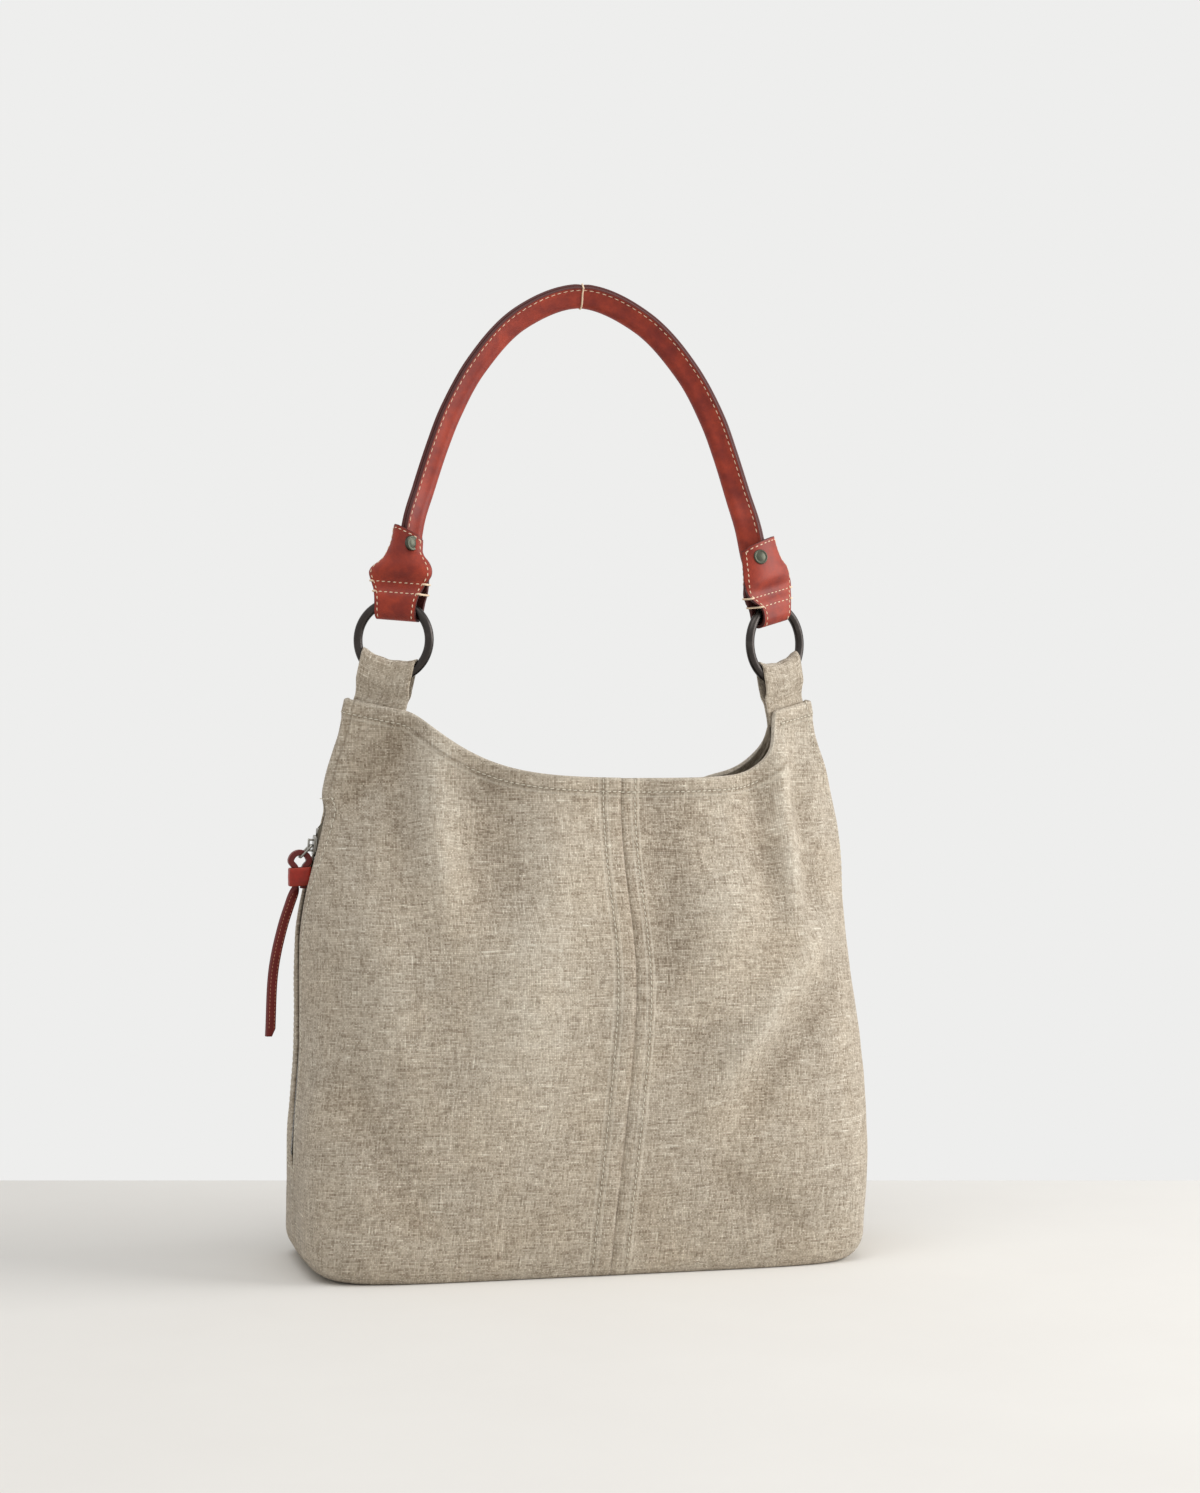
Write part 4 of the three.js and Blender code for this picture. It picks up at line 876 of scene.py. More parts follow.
def peak_middle(length, z):
    """Point midway between the left peak's layers, with its outward and along directions."""
    level = level_section(z)
    x, y, run = outline(level, -1, -1)
    start = level["apart"] / 2 - GAP / 2
    marks = [start + length, start + length + 1.0]
    here, ahead = np.stack([np.interp(marks, run, x), np.interp(marks, run, y)], axis=1)
    along = unit(ahead - here)
    point = np.array([here[0], here[1] + level["apart"] / 2, z])
    return point, np.array([along[1], -along[0], 0.0]), np.array([along[0], along[1], 0.0])


peak_root, ring_out, peak_along = peak_middle(TAB_MIDDLE, PEAK_MIDDLE)
ring_across = peak_along * math.cos(LEAN) - UP * math.sin(LEAN)
ring_up = peak_along * math.sin(LEAN) + UP * math.cos(LEAN)


def ring_place(w, n, h):
    """Points from places across, in front of and up the left ring's frame."""
    w, n, h = (np.asarray(a, float)[..., None] for a in (w, n, h))
    return peak_root + ring_across * w + ring_out * n + ring_up * h


def on_side(points, side):
    """The left side's points, or their mirror image for the right side."""
    return points * np.array([-side, 1.0, 1.0])


def tube_mesh(name, rings, closed=False, fields=None):
    """A tube through equal rings of points in millimetres, capped unless it closes on itself."""
    count, sides = rings.shape[:2]
    index = np.arange(count * sides).reshape(count, sides)
    if closed:
        index = np.concatenate([index, index[:1]])
    turned = np.roll(index, -1, axis=1)
    corners = (index[:-1], turned[:-1], turned[1:], index[1:])
    faces = np.stack([corner.ravel() for corner in corners], axis=1).tolist()
    if not closed:
        faces += [index[0, ::-1].tolist(), index[-1].tolist()]
    fields = {key: np.broadcast_to(values, (count, sides)) for key, values in (fields or {}).items()}
    return closed_piece(name, rings.reshape(-1, 3), faces, fields)


def running(points):
    """Distance along a row of points from its first."""
    return np.concatenate([[0.0], np.cumsum(np.linalg.norm(np.diff(points, axis=0), axis=1))])


def even_loop(points, count):
    """Evenly spaced points on a closed line, and its direction at each."""
    loop = np.vstack([points, points[:1]])
    run = running(loop)
    even = np.linspace(0.0, run[-1], count + 1)[:-1]
    spaced = np.stack([np.interp(even, run, column) for column in loop.T], axis=1)
    return spaced, unit(np.roll(spaced, -1, axis=0) - np.roll(spaced, 1, axis=0))


def round_rings(points, radius, side, other, count):
    """Rings of points round a line, from two directions square to it."""
    turn = np.linspace(0.0, 2.0 * math.pi, count + 1)[:-1]
    return points[:, None] + radius * (side[:, None] * np.cos(turn)[None, :, None]
                                       + other[:, None] * np.sin(turn)[None, :, None])


def even_path(knots, count):
    """Evenly spaced points on a centripetal spline through the knots."""
    knots = np.asarray(knots, float)
    ends = np.vstack([2 * knots[0] - knots[1], knots, 2 * knots[-1] - knots[-2]])
    t = np.linspace(0.0, 1.0, 41)[:, None]
    pieces = []
    for i in range(len(knots) - 1):
        p = ends[i:i + 4]
        d = np.maximum(np.linalg.norm(np.diff(p, axis=0), axis=1), 1e-4) ** 0.5
        leave = (p[1] - p[0]) / d[0] - (p[2] - p[0]) / (d[0] + d[1]) + (p[2] - p[1]) / d[1]
        arrive = (p[2] - p[1]) / d[1] - (p[3] - p[1]) / (d[1] + d[2]) + (p[3] - p[2]) / d[2]
        leave, arrive = leave * d[1], arrive * d[1]
        cubic = 2 * p[1] - 2 * p[2] + leave + arrive
        square = -3 * p[1] + 3 * p[2] - 2 * leave - arrive
        pieces.append(p[1] + leave * t + square * t ** 2 + cubic * t ** 3)
    points = np.vstack([piece[:-1] for piece in pieces[:-1]] + [pieces[-1]])
    run = running(points)
    even = np.linspace(0.0, run[-1], count)
    return np.stack([np.interp(even, run, points[:, k]) for k in range(3)], axis=1), run[-1]


def node_tree(name, numbers, others):
    """A Geometry Nodes tree with named inputs, its inputs' sockets and the way to add nodes to it."""
    tree = bpy.data.node_groups.new(name, "GeometryNodeTree")
    kinds = [("Geometry", "Geometry")] + [(number, "Float") for number in numbers] + others
    for socket, kind in kinds:
        tree.interface.new_socket(socket, in_out="INPUT", socket_type="NodeSocket" + kind)
    tree.interface.new_socket("Geometry", in_out="OUTPUT", socket_type="NodeSocketGeometry")

    def node(kind, values=None, **settings):
        made = tree.nodes.new(kind)
        for key, value in settings.items():
            setattr(made, key, value)
        for key, value in (values or {}).items():
            for one in value if isinstance(value, list) else [value]:
                if isinstance(one, bpy.types.Node):
                    tree.links.new(one.outputs[0], made.inputs[key])
                elif isinstance(one, bpy.types.NodeSocket):
                    tree.links.new(one, made.inputs[key])
                else:
                    made.inputs[key].default_value = one
        return made

    return tree, node("NodeGroupInput").outputs, node


def stitch_tree():
    """Geometry Nodes: one rounded stitch at every pitch of each line, lying along it."""
    tree, given, node = node_tree(STITCH_TREE, ("Pitch", "Stitch length", "Thread width", "Lift", "Slant"),
                                  [("Seed", "Int"), ("Thread", "Material")])
    curve = node("GeometryNodeMeshToCurve", {"Mesh": given["Geometry"]})
    even = node("GeometryNodeResampleCurve", {"Curve": curve, "Length": given["Pitch"]}, mode="LENGTH")
    tangent = node("GeometryNodeInputTangent")
    out = node("GeometryNodeInputNamedAttribute", {"Name": "out"}, data_type="FLOAT_VECTOR")
    along = node("FunctionNodeAlignEulerToVector", {"Vector": tangent}, axis="X")
    upright = node("FunctionNodeAlignEulerToVector", {"Rotation": along, "Vector": out},
                   axis="Z", pivot_axis="X")
    raised = node("ShaderNodeVectorMath", {0: out, "Scale": given["Lift"]}, operation="SCALE")
    moved = node("GeometryNodeSetPosition", {"Geometry": even, "Offset": raised})
    ball = node("GeometryNodeMeshUVSphere", {"Segments": 8, "Rings": 5, "Radius": 0.5})
    shape = node("ShaderNodeCombineXYZ", {"X": given["Stitch length"], "Y": given["Thread width"],
                                          "Z": given["Thread width"]})
    sized = node("GeometryNodeTransform", {"Geometry": ball, "Scale": shape})
    placed = node("GeometryNodeInstanceOnPoints", {"Points": moved, "Instance": sized, "Rotation": upright})
    least = node("ShaderNodeMath", {0: given["Slant"], 1: 0.5}, operation="MULTIPLY")
    most = node("ShaderNodeMath", {0: given["Slant"], 1: 1.5}, operation="MULTIPLY")
    turn = node("FunctionNodeRandomValue", {2: least, 3: most, "Seed": given["Seed"]}, data_type="FLOAT")
    yaw = node("ShaderNodeCombineXYZ", {"Z": turn.outputs[1]})
    turned = node("GeometryNodeRotateInstances", {"Instances": placed, "Rotation": yaw})
    real = node("GeometryNodeRealizeInstances", {"Geometry": turned})
    round_ = node("GeometryNodeSetShadeSmooth", {"Geometry": real})
    dyed = node("GeometryNodeSetMaterial", {"Geometry": round_, "Material": given["Thread"]})
    node("NodeGroupOutput", {"Geometry": dyed})
    return tree


def run_tree(name, mesh, tree, values):
    """The mesh that a Geometry Nodes tree makes, as a plain object of its own."""
    base = link_object(name + "_lines", mesh)
    modifier = base.modifiers.new("nodes", "NODES")
    modifier.node_group = tree
    for item in tree.interface.items_tree:
        if item.item_type == "SOCKET" and item.in_out == "INPUT" and item.name in values:
            modifier[item.identifier] = values[item.name]
    base.update_tag()
    graph = bpy.context.evaluated_depsgraph_get()
    result = bpy.data.meshes.new_from_object(base.evaluated_get(graph))
    base.modifiers.remove(modifier)
    bpy.data.objects.remove(base)
    if not len(result.polygons):
        raise RuntimeError(f"{name}: the node tree made nothing")
    result.name = name
    if "out" in result.attributes:
        result.attributes.remove(result.attributes["out"])
    return link_object(name, result)


def sew(name, lines, body, slot, thread, pitch=3.0, length=2.4, width=0.62, lift=0.05, slant=0.12):
    """Stitches along lines, each a row of points and of outward directions, as one piece."""
    points, outs, edges = [], [], []
    for line, out in lines:
        first = len(points)
        points += (np.asarray(line) * MM).tolist()
        outs += unit(np.asarray(out, float)).tolist()
        edges += [(first + i, first + i + 1) for i in range(len(line) - 1)]
    mesh = bpy.data.meshes.new(name)
    mesh.from_pydata(points, edges, [])
    attribute = mesh.attributes.new("out", "FLOAT_VECTOR", "POINT")
    attribute.data.foreach_set("vector", np.array(outs, np.float32).ravel())
    tree = bpy.data.node_groups.get(STITCH_TREE) or stitch_tree()
    made = run_tree(name, mesh, tree, {
        "Pitch": pitch * MM, "Stitch length": length * MM, "Thread width": width * MM,
        "Lift": lift * MM, "Slant": slant, "Seed": STITCH_SEED, "Thread": finish_of(thread)})
    return settle(made, body, slot)


def stitch_lines(quarter):
    """The topstitching of one cloth panel: rows beside its seams and below its rim."""
    side, face = quarter.side, quarter.face
    lines = []
    mark = np.linspace(0.0, quarter.rim_length, 150)
    top = rim_height(mark, side, face)
    slope = np.gradient(top, mark)
    size = np.hypot(1.0, slope)
    row_mark = mark + RIM_STITCH * slope / size
    z = top - RIM_STITCH / size
    length = row_mark / quarter.rim_length * quarter.total(z)
    kept = (length > quarter.first(z) + 1.5) & (length < quarter.total(z) - 0.5)
    points, out = quarter.cloth(length[kept], z[kept])
    lines.append((points, out))
    inset = points - out * (HEM_THICK + 0.1)
    lines.append((inset, -out))
    offset = CENTRE_STITCH[side] if face < 0 else CENTRE_STITCH[1]
    rim = float(rim_height(quarter.rim_length - offset, side, face))
    z = np.linspace(9.0, rim - 2.0, 120)
    lines.append(quarter.cloth(quarter.total(z) - offset, z))
    low, high = (ZIP_LOW - 8.0, ZIP_HIGH + 8.0) if side < 0 else (9.0, PEAK_OUTER - 2.0)
    z = np.linspace(low, high, 110)
    lines.append(quarter.cloth(quarter.first(z) + EDGE_STITCH, z))
    if side < 0:
        for level in (low, high):
            across = np.linspace(0.6, float(quarter.first(level)) + EDGE_STITCH, 8)
            lines.append(quarter.cloth(across, np.full(8, level)))
    return lines


def far_fields(shape):
    """Row distances for cloth without furrows of stitching."""
    rows = {name: np.full(shape, 99.0) for name in ("rim_row", "edge_row", "centre_row")}
    return rows | {"fold": np.zeros(shape)}


FACING_ROWS = 10


def rim_facing(name, face):
    """The hem's turned-in strip on the inside of the rim, between the two tabs."""
    outer, inner, uv = [], [], []
    for i in range(FACING_ROWS + 1):
        strip, under, flat = [], [], []
        for side in (-1, 1):
            quarter = QUARTERS[side, face]
            mark = np.linspace(PEAK_WIDTH + 1.0, quarter.rim_length, 70)
            mark = mark if side < 0 else mark[:-1][::-1]
            rim = rim_height(mark, side, face)
            z = rim - mix(HEM, HEM_THICK * 0.6, i / FACING_ROWS)
            points, out = quarter.cloth(mark / quarter.rim_length * quarter.total(z), z)
            strip.append(points - out * (CLOTH + 0.05))
            under.append(points - out * HEM_THICK)
            flat.append(np.stack([side * -mark, rim * 0.0 + i * 1.1], axis=1))
        outer.append(np.concatenate(strip))
        inner.append(np.concatenate(under))
        uv.append(np.concatenate(flat))
    outer, inner = np.array(outer), np.array(inner)
    made = sheet_mesh(name, outer, inner, far_fields(outer.shape[:2]), np.array(uv) + 900.0)
    return dress(made, "Washed linen")


def tab_place(w, n, h):
    """A place on the left tab, which bends with the peak below and leans with the ring above."""
    lean = LEAN * float(smooth(-4.0, 10.0, h))
    along = w * math.cos(lean) + h * math.sin(lean)
    rise = h * math.cos(lean) - w * math.sin(lean)
    flat = peak_root + peak_along * along + ring_out * n + UP * rise
    share = float(smooth(4.0, 12.0, h))
    if share >= 1.0:
        return flat
    point, out, _ = peak_middle(TAB_MIDDLE + along, PEAK_MIDDLE + rise)
    return mix(point + out * n, flat, share)


def tab_mesh(name, side):
    """A strip of cloth up from between the peak's layers, over the ring's wire and down again."""
    wire_high = RING_RISE - RING_RADIUS
    edge_drop = math.sqrt(RING_RADIUS ** 2 - (TAB_WIDTH / 2) ** 2)
    slant = RING_WIRE / 2 * (RING_RADIUS / edge_drop - 1.0)
    turns = [0.5 - 0.5 * math.cos(math.pi * i / 30) for i in range(31)]

    def grid(depth):
        rows = []
        for turn in turns:
            w = mix(-TAB_WIDTH / 2, TAB_WIDTH / 2, turn)
            sag = TAB_SAG * (1.0 - (2.0 * w / TAB_WIDTH) ** 2)
            sag += 0.22 * math.sin(w * 0.6 + 1.2) + 0.1 * math.sin(w * 1.9)
            fold = RING_RISE - edge_drop + slant + GAP - sag
            near, wide = GAP / 2 + depth, TAB_CLEAR + depth
            edge = 1.0 - 0.35 * (abs(2.0 * turn - 1.0) ** 24 if depth else 0.0)
            leg = []
            for i in range(26):
                h = mix(-TAB_LEG, fold, i / 25)
                n = mix(near, wide, float(smooth(1.5, wire_high - 1.5, h)))
                leg.append((n * edge, h))
            bend = [(wide * edge * math.cos(a), fold + wide * math.sin(a))
                    for a in np.linspace(0.0, math.pi, 19)[1:-1]]
            path = leg + bend + [(-n, h) for n, h in reversed(leg)]
            rows.append([tab_place(w, n, h) for n, h in path])
        return on_side(np.array(rows), side)

    outer, inner = grid(WEBBING), grid(0.0)
    down = running(outer[len(turns) // 2])
    across = np.array([mix(0.0, TAB_WIDTH, t) for t in turns])
    uv = np.stack(np.broadcast_arrays(across[:, None] + 500.0 * side, down[None, :]), axis=-1)
    made = sheet_mesh(name, outer, inner, far_fields(outer.shape[:2]), uv)
    return dress(made, "Washed linen")


def ring_mesh(name, side):
    """A ring of round wire with the fine line where its ends meet."""
    angles = np.linspace(0.0, 2.0 * math.pi, 193)[:-1]
    turn = np.linspace(0.0, 2.0 * math.pi, 25)[:-1]
    joint = math.radians(150.0)
    dent = 0.22 * np.exp(-(((angles - joint) * RING_RADIUS / 0.45) ** 2))
    wire = (RING_WIRE / 2 - dent)[:, None]
    reach = RING_RADIUS + wire * np.cos(turn)
    points = ring_place(reach * np.sin(angles)[:, None], wire * np.sin(turn) + 0.0 * reach,
                        RING_RISE + reach * np.cos(angles)[:, None])
    made = tube_mesh(name, on_side(points, side), closed=True)
    return dress(made, "Dark ring metal")


# The leather ends fold round the rings' tops: places are measured up from the wire in a
# frame that hangs a little straighter than the ring leans. Side -1 is the left, 1 the right
CHAPE_ROLL = math.radians(8.0)
CHAPE_DIP = {-1: math.radians(8.0), 1: math.radians(-0.5)}
FOLD_LOW = 4.7
FOLD_HALF = 5.55
CHAPE_LINE = [-9, 1, 6, 10.5, 16, 19.5, 22.5, 25, 27.5, 30, 33, 37, 46]
CHAPE_OUTER = {
    -1: [-14.1, -14.9, -16.3, -18.7, -21.3, -20.2, -16.9, -14.5, -12.9, -11.9, -10.9, -10.3, -9.9],
    1: [-13.0, -14.2, -16.2, -18.8, -19.4, -18.8, -17.6, -15.5, -13.9, -12.9, -12.1, -11.4, -10.0]}
CHAPE_INNER = {
    -1: [10.0, 10.8, 11.8, 13.6, 16.6, 16.6, 15.2, 13.2, 10.6, 9.2, 8.8, 8.4, 6.6],
    1: [9.8, 11.2, 15.6, 19.0, 20.2, 20.0, 19.4, 18.8, 18.2, 17.8, 17.4, 17.0, 15.0]}
CHAPE_BACK = {
    -1: [11.6, 12.6, 13.8, 14.2, 13.8, 13.2, 12.4, 10.8, 8.4, 6.6, 6.0, 5.8, 5.4],
    1: [11.0, 12.6, 16.0, 18.0, 16.4, 14.4, 13.0, 12.0, 11.4, 11.0, 10.6, 10.2, 9.0]}
CHAPE_DEEP = [0, 4.0, 8.4, 12.5, 17, 21, 25, 30, 35, 46]
CHAPE_HALF = [5.55, 5.1, 3.8, 4.3, 8.0, 9.3, 9.6, 9.6, 9.6, 9.6]
CHAPE_EDGE = [5.1, 4.6, 3.2, 2.6, 2.4, 2.3, 2.2, 2.2, 2.3, 2.4]
CHAPE_SET = [0.0, -0.3, -0.9, -1.6, -2.6, -3.6, -4.6, -5.4, -6.3, -7.8]
CHAPE_FLAT = [8, 7, 6, 4.5, 2.8, 2.4, 2.2, 2.1, 2.1, 2.2]
CHAPE_ROUND = [1, 1, 1, 0.95, 0.8, 0.68, 0.58, 0.5, 0.5, 0.5]
CHAPE_TOP = {-1: (45.0, 38.4), 1: (40.6, 38.2)}
CHAPE_ROWS = {-1: (5.5, 11.4), 1: (2.6, 8.6)}

chape_outer, chape_inner, chape_back = (
    {side: curve_through(CHAPE_LINE, row) for side, row in rows.items()}
    for rows in (CHAPE_OUTER, CHAPE_INNER, CHAPE_BACK))
chape_half, chape_edge, chape_set, chape_flat, chape_round = (
    curve_through(CHAPE_DEEP, row)
    for row in (CHAPE_HALF, CHAPE_EDGE, CHAPE_SET, CHAPE_FLAT, CHAPE_ROUND))


def chape_frame(side, w, n, h):
    """Points of the left ring's frame for places across, in front of and up a leather end."""
    turned = w * math.cos(CHAPE_ROLL) - h * math.sin(CHAPE_ROLL)
    rise = h * math.cos(CHAPE_ROLL) + w * math.sin(CHAPE_DIP[side])
    return ring_place(turned, n, RING_TOP + rise)


def chape_place(side, face, t, h):
    """Points on a leather end: face 1 in front or -1 behind, t across, h up from the wire."""
    t, h = np.broadcast_arrays(np.asarray(t, float), np.asarray(h, float))
    inner = (chape_inner if face > 0 else chape_back)[side](h)
    w = mix(chape_outer[side](h), inner, (t + 1.0) / 2)
    crown = np.maximum(1.0 - np.abs(t) ** chape_flat(h), 0.0) ** chape_round(h)
    n = chape_edge(h) + (chape_half(h) - chape_edge(h)) * crown
    below = np.maximum(-FOLD_LOW - h, 0.0) / FOLD_HALF
    n = n * np.sqrt(np.maximum(1.0 - np.minimum(below, 1.0) ** 2, 0.0))
    return chape_frame(side, w, chape_set(h) + face * n, h)


def chape_surface(side, face, t, h):
    """Points and outward directions on a leather end."""
    t, h = np.broadcast_arrays(np.asarray(t, float), np.asarray(h, float))
    step = 0.02
    safe = np.clip(t, -0.985 + step, 0.985 - step)
    across = chape_place(side, face, safe + step, h) - chape_place(side, face, safe - step, h)
    up = chape_place(side, face, safe, h + 0.2) - chape_place(side, face, safe, h - 0.2)
    return chape_place(side, face, t, h), unit(np.cross(up, across)) * -face


def chape_top(side, t):
    """How high a leather end reaches at t across."""
    t = np.asarray(t, float)
    corner = smooth(0.72, 1.0, np.abs(t)) ** 2
    return mix(CHAPE_TOP[side][0], CHAPE_TOP[side][1], (t + 1.0) / 2) + 1.2 * (1.0 - t * t) - 1.6 * corner


def chape_mesh(name, side):
    """One strip of leather folded round the ring, shouldered and narrowed to the handle."""
    t = -np.cos(np.pi * np.linspace(0.0, 1.0, 49))
    levels = np.concatenate([[0.0, 0.006, 0.02], np.linspace(0.05, 1.0, 62)])
    rows, outs = [], []

    def add(face, level):
        points, out = chape_surface(side, face, t, mix(chape_top(side, t), -FOLD_LOW, level))
        rows.append(points)
        outs.append(out)

    for level in levels[:-1]:
        add(1, level)
    for angle in np.linspace(0.0, np.pi, 25):
        h = -FOLD_LOW - FOLD_HALF * math.sin(angle) + 0.0 * t
        inner = mix(chape_inner[side](h), chape_back[side](h), float(smooth(0.0, np.pi, angle)))
        w = mix(chape_outer[side](h), inner, (t + 1.0) / 2)
        roll = 1.0 - (1.0 - CHAPE_EDGE[0] / CHAPE_HALF[0]) * np.abs(t) ** 8
        rows.append(chape_frame(side, w, FOLD_HALF * roll * math.cos(angle), h))
        down = ring_up * math.cos(CHAPE_ROLL) - ring_across * math.sin(CHAPE_ROLL)
        outs.append(np.tile(ring_out * math.cos(angle) - down * math.sin(angle), (len(t), 1)))
    for level in levels[:-1][::-1]:
        add(-1, level)
    outer, out = np.array(rows), np.array(outs)
    inner = outer - out * LEATHER
    border = np.full(outer.shape[:2], 9.0)
    for axis in (0, 1):
        run = np.cumsum(np.linalg.norm(np.diff(outer, axis=axis), axis=2), axis=axis)
        run = np.concatenate([np.zeros_like(run.take([0], axis)), run], axis=axis)
        border = np.minimum(border, np.minimum(run, run.take([-1], axis) - run))
    made = sheet_mesh(name, on_side(outer, side), on_side(inner, side), {"edge": smooth(0.55, 0.1, border)})
    # Painted shade: the inner faces all take the dark edge colour, standing for the shade between the folded
    # layers
    attribute = made.data.attributes["edge"]
    values = np.zeros(len(made.data.vertices), np.float32)
    attribute.data.foreach_get("value", values)
    values[outer.shape[0] * outer.shape[1]:] = 1.0
    attribute.data.foreach_set("value", values)
    return dress(made, "Red leather")


def chape_lines(side):
    """The stitching of one leather end: two rows across, both sides and the slanting top."""
    lines = []
    for face in (1, -1):
        for h in CHAPE_ROWS[side]:
            lines.append(chape_surface(side, face, np.linspace(-0.93, 0.93, 40), h))
        h = np.linspace(-8.0, float(chape_top(side, 0.0)) - 2.0, 90)
        inner = (chape_inner if face > 0 else chape_back)[side](h)
        width = (inner - chape_outer[side](h)) / 2
        for end in (-1.0, 1.0):
            t = end * (1.0 - mix(1.9 / width, 0.07, smooth(20.0, 30.0, h)))
            points, out = chape_surface(side, face, t, h)
            kept = h <= chape_top(side, t) - 2.0
            lines.append((points[kept], out[kept]))
        t = np.linspace(-0.9, 0.9, 40)
        lines.append(chape_surface(side, face, t, chape_top(side, t) - 1.9))
    return [(on_side(points, side), on_side(out, side)) for points, out in lines]


def chape_wrap(side, h, end):
    """Thread drawn over a side of a leather end, from one face to the other."""
    front, out_front = chape_surface(side, 1, end * 0.9, h)
    back, out_back = chape_surface(side, -1, end * 0.9, h)
    edge_front, edge_back = (chape_place(side, face, end * 1.0, h) for face in (1, -1))
    away = unit(edge_front - chape_place(side, 1, end * 0.8, h))
    knots = [front + out_front * 0.1, front + out_front * 0.45 + (edge_front - front) * 0.6,
             edge_front + away * 0.45, edge_back + away * 0.45,
             back + out_back * 0.45 + (edge_back - back) * 0.6, back + out_back * 0.1]
    return even_path(knots, 40)[0]


def thread_loop(name, points, radius, thread, body, slot, closed=False):
    """A round thread laid along points in millimetres."""
    points = np.asarray(points, float)
    if closed:
        along = np.roll(points, -1, axis=0) - np.roll(points, 1, axis=0)
    else:
        along = np.gradient(points, axis=0)
    along = unit(along)
    side = unit(np.cross(along, np.array([0.31, 0.87, 0.38])))
    other = np.cross(along, side)
    made = tube_mesh(name, round_rings(points, radius, side, other, 10), closed=closed)
    return settle(dress(made, thread), body, slot)


HANDLE_ROUND = 10.0
HANDLE_HEIGHT = 15.0
FLANGE_THICK = 4.6
CORE = 5.0
HANDLE_TILT = math.radians(42.0)
HANDLE_LOW = 28.0
HANDLE_FOOT = (-3.2, -7.4)
HANDLE_COLLAR = (-5.6, -10.4)
COLLAR_HIGH = 48.0
HANDLE_ARCH = [(94, -14, 447), (85.5, -12, 472), (77, -10.5, 493), (61.8, -8.5, 520), (35.8, -6, 548)]
HANDLE_TOP = (0.0, -5.0, 562.0)
HANDLE_END = [(3.4, -1.9, 13.5), (1.2, -2.9, 17.0), (-1.2, -4.6, 21.5)]
HANDLE_STEPS = 280
HANDLE_SHIFT = {-1: [0.0] * 8, 1: [3.4, 3.4, 3.4, 5.0, 6.0, 3.4, 2.0, 0.8]}
STITCH_IN = 1.75
HANDLE_STITCHES_FROM = 424.0
COVER_OUTSIDE = 39


def handle_frames():
    """Points of the handle's middle line with its directions along, up the flange and across it."""
    ends = {}
    for side in (-1, 1):
        places = HANDLE_END + [(*HANDLE_FOOT, HANDLE_LOW), (*HANDLE_COLLAR, COLLAR_HIGH)]
        knots = [ring_place(w, n, RING_TOP + h) for w, n, h in places]
        knots += [np.array([-x, y, z]) for x, y, z in HANDLE_ARCH]
        knots = [knot + ring_across * shift for knot, shift in zip(knots, HANDLE_SHIFT[side] + [0.0, 0.0])]
        ends[side] = [on_side(point, side) for point in knots]
    knots = ends[-1] + [np.array(HANDLE_TOP)] + ends[1][::-1]
    points, length = even_path(knots, HANDLE_STEPS + 1)
    along = unit(np.gradient(points, axis=0))
    front = unit(np.array([0.0, -1.0, 0.0]) + along * along[:, 1:2])
    outwards = unit(np.cross(front, along))
    flange = outwards * math.cos(HANDLE_TILT) + front * math.sin(HANDLE_TILT)
    return points, along, flange, unit(np.cross(along, flange)), length


def handle_size(run, length):
    """How much the handle's section grows or narrows along its run."""
    lumps = 1.0 + 0.012 * np.sin(run / 9.0) * np.sin(run / 31.0 + 1.0)
    swell = 1.0 + 0.06 * np.exp(-(((length - run - 30.0) / 24.0) ** 2))
    return lumps * swell * mix(0.42, 1.0, smooth(-4.0, 17.0, np.minimum(run, length - run)))


def cover_section():
    """The folded strip's section and how dark each of its points is: burnished darkest at the raw tip and its
    slot, dark in the bore, a little darker along the stitch grooves.
    """
    tip = HANDLE_HEIGHT - HANDLE_ROUND / 2
    half, round_, bore = FLANGE_THICK / 2, HANDLE_ROUND / 2, CORE / 2 + 0.6
    stitch = tip - STITCH_IN
    side = [(tip, half - 0.45, 1.0), (tip - 0.12, half - 0.14, 1.0), (tip - 0.5, half, 0.25),
            (stitch + 0.55, half, 0.0), (stitch, half - 0.3, 0.12), (stitch - 0.55, half, 0.0),
            (round_ + 0.9, half + 0.05, 0.0)]
    start = math.acos(0.55)
    body = [(round_ * math.cos(a), round_ * math.sin(a), 0.0)
            for a in np.linspace(start, 2.0 * math.pi - start, 25)]
    back = [(u, -v, e) for u, v, e in reversed(side)]
    slot = [(tip, -0.35, 1.0), (tip - 0.45, -0.12, 1.0)]
    inner = [(bore * math.cos(a), bore * math.sin(a), 1.0)
             for a in np.linspace(2.0 * math.pi - 0.06, 0.06, 11)]
    return np.array(side + body + back + slot + inner + [(u, -v, e) for u, v, e in reversed(slot)])


def handle_cover(name):
    """The folded leather strip of the handle, pinched where a thread is whipped round its top."""
    points, _, flange, across, length = handle_frames()
    section = cover_section()
    run = np.linspace(0.0, length, len(points))
    pinch = 1.0 - 0.05 * np.exp(-(((run - length / 2) / 1.6) ** 2))
    size = (pinch * handle_size(run, length))[:, None, None]
    rings = (points[:, None] + size * (flange[:, None] * section[None, :, 0:1]
                                       + across[:, None] * section[None, :, 1:2]))
    made = tube_mesh(name, rings, fields={"edge": section[:, 2]})
    return dress(made, "Red leather")


def handle_lines():
    """The handle's stitching on both sides of its flange, clear of the leather ends."""
    points, _, flange, across, length = handle_frames()
    kept = points[:, 2] > HANDLE_STITCHES_FROM
    size = handle_size(np.linspace(0.0, length, len(points)), length)[:, None]
    u = (HANDLE_HEIGHT - HANDLE_ROUND / 2 - STITCH_IN) * size
    v = (FLANGE_THICK / 2 - 0.28) * size
    return [((points + flange * u + across * v * way)[kept], (across * way)[kept]) for way in (1, -1)]


